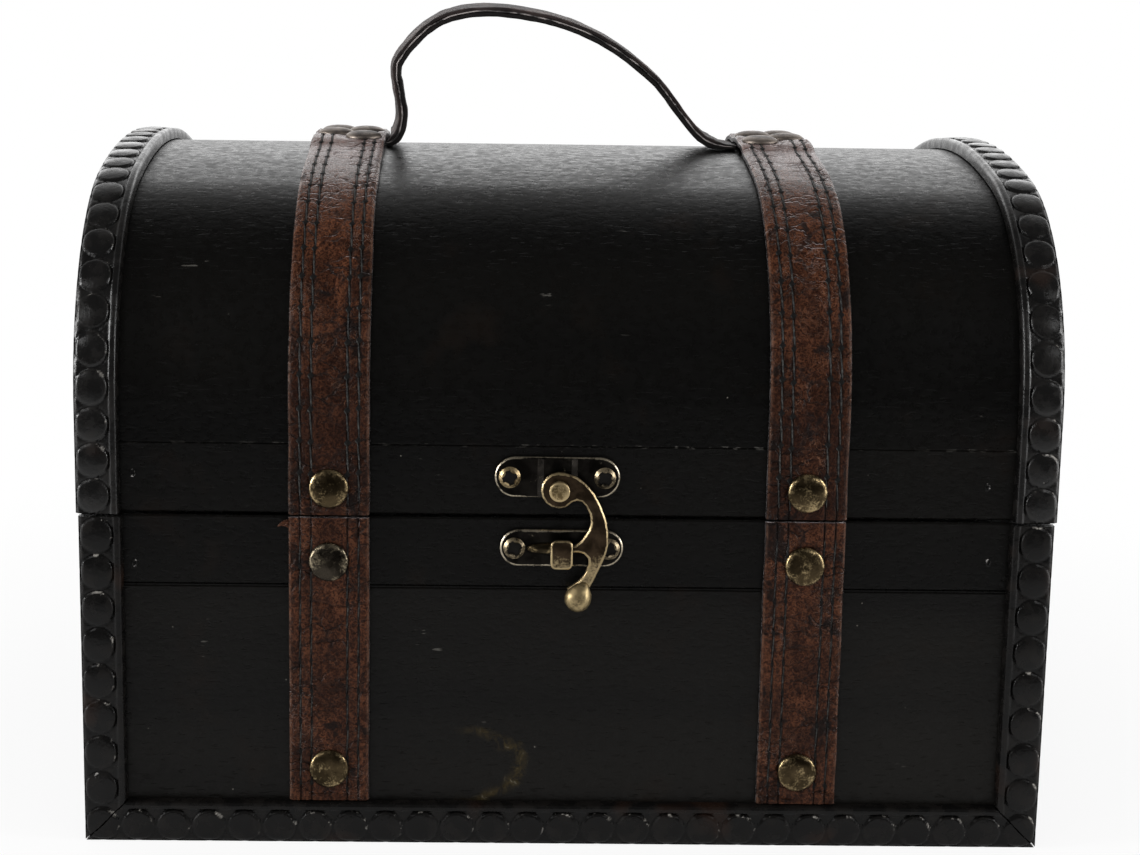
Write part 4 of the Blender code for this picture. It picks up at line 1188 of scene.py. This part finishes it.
def handle(leather, edge, filler):
    """Two leathers with a filler between them, which stands a hair proud at the edges."""
    path = handle_path(5)
    handle_layer("handle_face", 0.62, 1.0, 0.0, leather, path, ("handle_loop",))
    handle_layer("handle_filler", 0.50, 0.64, -FILLER_PROUD, filler, path)
    ends = ("handle_end_left", "handle_end_right")
    handle_layer("handle_lining", 0.0, 0.52, 0.0, edge, path, ends)


# Metal

def stud_head():
    """Dome with a thin turned-down rim, standing on Z 0."""
    made = start("stud_head", bpy.ops.mesh.primitive_uv_sphere_add, segments=32, ring_count=18,
                 radius=STUD_RADIUS)
    with editing(made, action="SELECT"):
        bpy.ops.mesh.bisect(plane_co=(0, 0, 0), plane_no=(0, 0, 1), clear_inner=True, use_fill=True)
        bpy.ops.mesh.select_all(action="SELECT")
        bpy.ops.transform.resize(
            value=(1, 1, (STUD_HEIGHT - STUD_RIM) / STUD_RADIUS), center_override=(0, 0, 0))
        bpy.ops.transform.translate(value=(0, 0, STUD_RIM))
    with editing(made, "FACE") as mesh:
        pick(mesh.faces, lambda face: len(face.verts) > 4)
        bpy.ops.mesh.extrude_region_move(TRANSFORM_OT_translate={"value": (0, 0, -STUD_RIM)})
    face_out(made)
    for point in made.data.vertices:
        reach = math.hypot(point.co.x, point.co.y) / STUD_RADIUS
        if point.co.z > STUD_RIM:
            round_share = (1 - min(1.0, reach) ** STUD_FLATNESS) ** 0.5
            point.co.z = STUD_RIM + (STUD_HEIGHT - STUD_RIM) * round_share
            point.co.z -= STUD_DIMPLE * (1 - smooth_step(reach, 0.04, 0.14))

    def rubbed(co):
        reach = math.hypot(co.x, co.y) / STUD_RADIUS
        ring = 1 - smooth_step(abs(reach - 0.2), 0.0, 0.08)
        return 0.4 * smooth_step(reach, 0.62, 0.97) + 0.3 * ring
    note(made, "rubbed", rubbed)
    return made


def studs(brass, dull, dim):
    """A finer head for each stud, and the two lower ones at the back that have no node."""
    head = stud_head()
    nodes = [name for name in frame["nodes"] if "stud" in name]
    for number, name in enumerate(sorted(nodes)):
        middle = place_of(name)[2]
        if name.startswith("handle_stud"):
            normal = Vector((0, middle.y, middle.z - CROWN_MIDDLE)).normalized()
            point = Vector((middle.x, 0, CROWN_MIDDLE)) + normal * (
                LID_CROWN_RADIUS + strap_base(HALF_GIRTH) + STRAP_THICKNESS + FIT / 2)
        else:
            back = 1 if "back" in name else -1
            normal = Vector((0, back, 0))
            point = Vector((middle.x, back * (HALF_DEPTH + FIT + STRAP_THICKNESS + FIT / 2), middle.z))
        body = "box" if name.startswith("body") else "lid"
        made = twin(head, "brass_" + name, stand(point, normal) @ Matrix.Rotation(number * 1.3, 4, "Z"))
        finish = dull if name.startswith("handle_stud") else brass
        if name == "body_front_stud_upper_left":
            finish = dim
        metal(made, finish, body, (name,), 50)
        if name.startswith("body_front_stud_lower"):
            mirrored = Vector((point.x, -point.y, point.z))
            made = twin(head, "brass_" + name.replace("front", "back"), stand(mirrored, (0, 1, 0)))
            metal(made, brass, "box", (), 50)
    bpy.data.objects.remove(head)


def screw_head():
    """Round head with a star recess, standing on Z 0."""
    made = start("screw_head", bpy.ops.mesh.primitive_cylinder_add, vertices=32, radius=SCREW_RADIUS,
                 depth=SCREW_HEIGHT)
    made.data.transform(Matrix.Translation((0, 0, SCREW_HEIGHT / 2)))
    with editing(made, "FACE") as mesh:
        pick(mesh.faces, lambda face: face.normal.z > 0.9)
        bpy.ops.transform.resize(value=(0.72, 0.72, 1))
        bpy.ops.mesh.inset(thickness=SCREW_RADIUS * 0.2)
        bpy.ops.transform.translate(value=(0, 0, SCREW_HEIGHT * 0.12))
    arms = []
    for turn, length, width in SCREW_ARMS:
        arm = start("arm", bpy.ops.mesh.primitive_cube_add, size=1)
        size = (2 * SCREW_RADIUS * length, 2 * SCREW_RADIUS * width, SCREW_HEIGHT * 1.5, 1)
        arm.data.transform(
            Matrix.Translation((0, 0, SCREW_HEIGHT)) @ Matrix.Rotation(math.radians(turn), 4, "Z")
            @ Matrix.Diagonal(size))
        arms.append(arm)
    for arm in arms:
        boolean(made, arm, "DIFFERENCE")
    face_out(made)
    wear(made, None, None)
    # Faces deep in the recess take the second slot, for dirt and painted shade
    for face in made.data.polygons:
        low = sum(made.data.vertices[index].co.z for index in face.vertices) / len(face.vertices)
        inner = max(math.hypot(*made.data.vertices[index].co[:2]) for index in face.vertices)
        face.material_index = 1 if low < SCREW_HEIGHT * 0.75 and inner < SCREW_RADIUS * 0.8 else 0
    note(made, "rubbed", lambda co: 0.4 * smooth_step(math.hypot(co.x, co.y) / SCREW_RADIUS, 0.5, 0.7))
    return made


def screws(bright, dark, black):
    """The latch's four screws, and those of the hinges, which have no node."""
    head = screw_head()
    for name, turn in SCREW_TURNS.items():
        low, _, middle = place_of(name)
        point = Vector((middle.x, low.y + SCREW_HEIGHT, middle.z))
        made = twin(head, "brass_" + name, stand(point, (0, -1, 0)) @ Matrix.Rotation(turn, 4, "Z"))
        body = "lid" if name.startswith("latch") else "box"
        wear(made, bright if name == "latch_screw_left" else dark, black)
        done(made, body, (name,), 30)
    for word in ("left", "right"):
        for leaf, body, rise in (("body", "box", -1), ("lid", "lid", 1)):
            middle = place_of("hinge_" + leaf + "_leaf_" + word)[2]
            height = (BODY_HEIGHT + LID_BOTTOM) / 2 + rise * HINGE_SCREW_RISE
            for number, part in enumerate((-HINGE_SCREW_REACH, HINGE_SCREW_REACH)):
                point = Vector((middle.x + part, HALF_DEPTH + FIT + HINGE_LEAF_THICKNESS, height))
                small = Matrix.Rotation(part * 90, 4, "Z") @ Matrix.Diagonal(SCREW_SMALL)
                made = twin(head, "hinge_" + leaf + "_screw_" + word + "_" + str(number + 1),
                            stand(point, (0, 1, 0)) @ small)
                wear(made, dark, black)
                done(made, body, sharp=30)
    bpy.data.objects.remove(head)


def latch_bridge(top, middle, reach):
    """Raised part of the latch plate under the hook, sloped at both ends."""
    bridge = start("bridge", bpy.ops.mesh.primitive_cube_add, size=1)
    half = BRIDGE_LENGTH / 2
    for point in bridge.data.vertices:
        front = point.co.y < 0
        point.co.x *= 2 * (half - BRIDGE_RAMP if front else half)
        point.co.z *= 2 * reach
        point.co.y = top - BRIDGE_HEIGHT if front else top + FIT
    bridge.data.transform(Matrix.Translation((middle.x, 0, middle.z)))
    with editing(bridge, "FACE") as mesh:
        pick(mesh.faces, lambda face: face.normal.y < -0.9)
        bpy.ops.mesh.inset(thickness=CHAMFER_WIDTH)
    with editing(bridge) as mesh:
        rubbed = mesh.verts.layers.float.new("rubbed")
        for point in mesh.verts:
            outer = any(abs(face.normal.y) < 0.9 for face in point.link_faces)
            point[rubbed] = 1.0 if outer and point.co.y < top else 0.0
    return bridge


def round_plate(node, name):
    """Flat plate with round ends and a rubbed rim, in the place of a node."""
    low, high, middle = place_of(node)
    radius = (high.z - low.z) / 2
    made = start(name, bpy.ops.mesh.primitive_cylinder_add, vertices=48, radius=radius,
                 depth=PLATE_THICKNESS)
    made.data.transform(Matrix.Rotation(math.pi / 48, 4, "Z"))
    for point in made.data.vertices:
        point.co.x += math.copysign((high.x - low.x) / 2 - radius, point.co.x)
    made.data.transform(stand((middle.x, high.y - PLATE_THICKNESS / 2, middle.z), (0, -1, 0)))
    rub_edges(made)
    return made, high.y - PLATE_THICKNESS, middle, radius


def block(name, low, high):
    """Plain block between two corners, a start for finer shapes."""
    made = start(name, bpy.ops.mesh.primitive_cube_add, size=1)
    made.data.transform(Matrix.Translation((low + high) / 2) @ Matrix.Diagonal((*(high - low), 1)))
    return made


def latch_plate(face):
    """Upper plate with a raised bridge for the rivet."""
    made, top, middle, radius = round_plate("latch_plate", "latch_back_plate")
    boolean(made, latch_bridge(top, middle, radius - FIT), "UNION")
    metal(made, face, "lid", ("latch_plate",))


def catch_rib(left, top, height, finish):
    """Rounded rib that runs up to the catch's post."""
    rib = start("catch_rib", bpy.ops.mesh.primitive_uv_sphere_add, segments=24, ring_count=14, radius=1)
    for point in rib.data.vertices:
        point.co.x = math.copysign(abs(point.co.x) ** 0.7, point.co.x)
    rib.data.transform(
        Matrix.Translation((left + RIB_LENGTH * 0.05, top, height))
        @ Matrix.Diagonal((RIB_LENGTH, RIB_RISE, RIB_WIDTH / 2, 1)))
    metal(rib, finish, "box", (), 60)


def catch_head(left, front, height, finish):
    """Overhanging head of the catch, with round corners and rubbed edges."""
    reach = CATCH_HEAD_LENGTH / 2
    head = block(
        "catch_head", Vector((left, front, height - reach)),
        Vector((left + CATCH_HEAD_WIDTH, front + CATCH_HEAD_THICKNESS, height + reach)))
    with editing(head, "EDGE") as mesh:
        pick(mesh.edges, lambda edge: abs(edge.verts[0].co.y - edge.verts[1].co.y) > FIT)
        bpy.ops.mesh.bevel(offset=CATCH_HEAD_CORNER, segments=4)
    rub_edges(head)
    metal(head, finish, "box")


def catch_plate(face, arm, worn):
    """Lower plate with a rib, a post and the head that holds the hook."""
    made, top, middle = round_plate("catch_plate", "catch_back_plate")[:3]
    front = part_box("catch_plate")[0].y
    left = place_of("latch_rivet")[2].x + CATCH_HEAD_LEFT
    catch_rib(left, top, middle.z, worn)
    post = block("post", Vector((left + FIT, front + FIT, middle.z - RIB_WIDTH / 2)),
                 Vector((left + CATCH_POST_WIDTH, top + FIT, middle.z + RIB_WIDTH / 2)))
    boolean(made, post, "UNION")
    metal(made, face, "box", ("catch_plate",))
    catch_head(left, front, middle.z - CATCH_HEAD_DROP, arm)


def hinges(face, worn):
    """Hinge leaves with eased edges, and their pins."""
    for word in ("left", "right"):
        for leaf, body in (("body", "box"), ("lid", "lid")):
            node = "hinge_" + leaf + "_leaf_" + word
            made = cad_twin(node, "hinge_leaf_" + leaf + "_" + word)
            bevel(made, HINGE_EDGE, 38)
            metal(made, face, body, (node,))
        repaint("hinge_pin_" + word, worn)


def hook(face, worn):
    """Hook with rubbed edges, and a worn ball drawn out into its tail."""
    made = cad_twin("latch_hook", "swing_hook")
    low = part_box("latch_hook")[0]
    bay = start("bay", bpy.ops.mesh.primitive_cylinder_add, vertices=56, radius=HOOK_BAY_RADIUS,
                depth=BALL_RADIUS * 4)
    bay.data.transform(stand((HOOK_BAY_X, low.y, HOOK_BAY_HEIGHT), (0, -1, 0)))
    boolean(made, bay, "DIFFERENCE")
    rub_edges(made)
    foot = [point.co for point in made.data.vertices if point.co.z < low.z + BALL_RADIUS / 3]
    middle = Vector((sum(co.x for co in foot) / len(foot), sum(co.y for co in foot) / len(foot),
                     low.z + BALL_RADIUS))
    tail = Vector(BALL_TAIL_WAY).normalized()
    ball = start("hook_ball", bpy.ops.mesh.primitive_uv_sphere_add, segments=28, ring_count=18,
                 radius=BALL_RADIUS)
    for point in ball.data.vertices:
        lean = max(0.0, point.co.dot(tail) / BALL_RADIUS)
        side = point.co - tail * point.co.dot(tail)
        point.co += tail * BALL_TAIL * lean ** 2 - side * 0.25 * lean ** 3
        point.co.y *= 0.86
        point.co += point.co.normalized() * BALL_UNEVENNESS * wander(*(point.co * 700))
    note(ball, "rubbed", lambda co: 0.6)
    ball.data.transform(Matrix.Translation(middle))
    metal(ball, worn, "hook", (), 60)
    metal(made, face, "hook", ("latch_hook",))


def rivet(worn):
    """Slightly domed head of the rivet that the hook turns on."""
    low, high, middle = place_of("latch_rivet")
    radius = (high.x - low.x) / 2
    made = start("rivet_head", bpy.ops.mesh.primitive_cylinder_add, vertices=40, radius=radius,
                 depth=RIVET_HEIGHT)
    with editing(made, "FACE") as mesh:
        pick(mesh.faces, lambda face: face.normal.z > 0.9)
        for inset, rise in zip(RIVET_INSET_SHARES, RIVET_RISES):
            bpy.ops.mesh.inset(thickness=radius * inset)
            bpy.ops.transform.translate(value=(0, 0, rise))
    note(made, "rubbed", lambda co: smooth_step(math.hypot(co.x, co.y) / radius, 0.7, 0.86))
    bevel(made, RIVET_EDGE, 60)
    made.data.transform(stand((middle.x, low.y + RIVET_HEIGHT / 2, middle.z), (0, -1, 0)))
    metal(made, worn, "lid", ("latch_rivet",), 40)


# Scene

def world_light():
    """Plain studio surround: white behind and above the box, dimmer on the camera's side."""
    world = bpy.data.worlds.new("studio")
    bpy.context.scene.world = world
    world.use_nodes = True
    paint = Paint("studio", world.node_tree)
    seen = paint.node("LightPath", output=0)
    glossy = paint.node("LightPath", output=3)
    direction = paint.node("TexCoord", output=0)
    depth = paint.node("SeparateXYZ", None, {0: direction}, 1)
    height = paint.node("SeparateXYZ", None, {0: direction}, 2)
    behind = (depth - height * 0.5).step(-0.42, 0.55)
    shine = 0.14 + behind * 0.95
    level = seen + (1 - seen) * (glossy * shine + (1 - glossy) * SKY_LEVEL)
    background = paint.node("Background", None, {0: (1.0, 1.0, 1.0), 1: level})
    paint.node("OutputWorld", None, {0: background})


def floor():
    """Pale floor that keeps a soft shadow near the box and turns plain white further out."""
    made = start("floor", bpy.ops.mesh.primitive_plane_add, size=12)
    paint = Paint("pale_floor")
    seen = paint.node("LightPath", output=0)
    reach = paint.node("VectorMath", {"operation": "LENGTH"}, {0: paint.place()}, 1)
    plain = seen * (0.86 + reach.step(0.14, 0.35) * 0.14)
    glossy = paint.node("LightPath", output=3)
    far = (0 - paint.axis("Y")).step(0.12, 0.55)
    pale = paint.mix(glossy * far * 0.85, (0.9, 0.9, 0.9), (0.02, 0.02, 0.02))
    lit = paint.node("BsdfDiffuse", None, {0: pale})
    white = paint.node("Emission", None, {0: (1.0, 1.0, 1.0), 1: 1.0})
    paint.node("OutputMaterial", None, {0: paint.node("MixShader", None, {0: plain, 1: lit, 2: white})})
    made.data.materials.append(paint.material)


def lights():
    """Softboxes and cards, which the camera itself does not show."""
    for name, (place, aim, width, height, power, shows) in SOFTBOXES.items():
        lamp = bpy.data.lights.new(name, "AREA")
        lamp.shape = "RECTANGLE"
        lamp.size = width
        lamp.size_y = height
        lamp.energy = power
        made = bpy.data.objects.new(name, lamp)
        bpy.context.scene.collection.objects.link(made)
        made.location = place
        made.rotation_euler = (Vector(aim) - Vector(place)).to_track_quat("-Z", "Y").to_euler()
        made.visible_camera = False
        made.visible_glossy = shows


def camera():
    """Camera of the photograph, with its lens shifted as the perspective asks."""
    lens = bpy.data.cameras.new("camera")
    lens.sensor_width = SENSOR
    lens.lens = FOCAL_PIXELS / PHOTO_WIDTH * SENSOR
    lens.shift_x = (PHOTO_WIDTH / 2 - PRINCIPAL_PIXEL[0]) / PHOTO_WIDTH
    lens.shift_y = (PRINCIPAL_PIXEL[1] - PHOTO_HEIGHT / 2) / PHOTO_WIDTH
    lens.clip_start = 0.01
    lens.clip_end = 20
    made = bpy.data.objects.new("camera", lens)
    bpy.context.scene.collection.objects.link(made)
    made.rotation_euler = (
        Matrix.Rotation(math.radians(-CAMERA_YAW), 3, "Z")
        @ Matrix.Rotation(math.radians(90 - CAMERA_PITCH), 3, "X")
        @ Matrix.Rotation(math.radians(CAMERA_ROLL), 3, "Z")).to_euler()
    made.location = CAMERA_PLACE
    bpy.context.scene.camera = made


def paint_boards(front, rails, plain, ends):
    """Finishes of the boards whose CAD shape is right as it is."""
    finishes = {
        "body_front_panel": front, "body_front_rail": rails, "lid_front_rail": rails,
        "body_back_panel": plain, "body_bottom_panel": plain, "lid_back_rail": plain,
        "body_left_end": ends, "body_right_end": ends, "lid_left_end": ends, "lid_right_end": ends}
    for name, finish in finishes.items():
        repaint(name, finish)


def build():
    bpy.context.scene.view_settings.view_transform = "Standard"
    camera()
    world_light()
    floor()
    lights()
    front = stained_wood("stained_front", 1.25, patch=True)
    rails = stained_wood("stained_rails", 0.85, line=LID_RAIL_TOP)
    plain = stained_wood("stained_boards")
    ends = stained_wood("stained_ends", 1.2, (1, 0.07, 1))
    # The arch's carving takes a stronger painted rim highlight than the body's
    carved = carved_wood("stained_carving", 0.10, 0.17)
    arch_carved = carved_wood("arch_carving", 0.45, 0.34)
    paint_boards(front, rails, plain, ends)
    lid_dome(stained_wood("stained_dome", 0.55))
    mouldings(carved, arch_carved)
    joint_lines(rails)
    nail_marks(nail_mark())
    dirt_and_shade = recess_black("recess_black", 0.010)
    body_hide = strap_hide("body_strap_hide", 0.58)
    sewing = (waxed_thread(), recess_black("needle_holes", 0.004))
    straps(strap_hide("lid_strap_hide", 0.70, 0.094), body_hide, sewing)
    leather_shred(body_hide)
    handle(handle_hide(), painted_edge(), filler_board())
    face = aged_brass("dark_bronze", (0.013, 0.0115, 0.0100), (0.46, 0.40, 0.30), 0.69, 0.26)
    arm = aged_brass("brown_bronze", (0.046, 0.031, 0.019), (0.44, 0.34, 0.19), 0.70, 0.32, 0.073)
    worn = aged_brass("worn_brass", (0.050, 0.038, 0.022), (0.50, 0.38, 0.20), 0.60, 0.28)
    bright = aged_brass("bright_brass", (0.12, 0.085, 0.04), (0.52, 0.40, 0.22), 0.54, 0.38)
    brass = aged_brass("stud_brass", (0.050, 0.036, 0.019), (0.41, 0.31, 0.165), 0.61, 0.21)
    dull = aged_brass("dull_brass", (0.13, 0.11, 0.10), (0.26, 0.22, 0.19), 0.55, 0.46)
    dim = aged_brass("dim_brass", (0.030, 0.025, 0.019), (0.30, 0.25, 0.17), 0.63, 0.20)
    studs(brass, dull, dim)
    latch_plate(face)
    catch_plate(face, arm, worn)
    hinges(face, worn)
    hook(arm, aged_brass("ball_brass", (0.085, 0.062, 0.030), (0.42, 0.325, 0.175), 0.60, 0.40))
    rivet(bright)
    dark = aged_brass("aged_screws", (0.030, 0.025, 0.018), (0.42, 0.34, 0.22), 0.56, 0.36)
    screws(bright, dark, dirt_and_shade)


build()
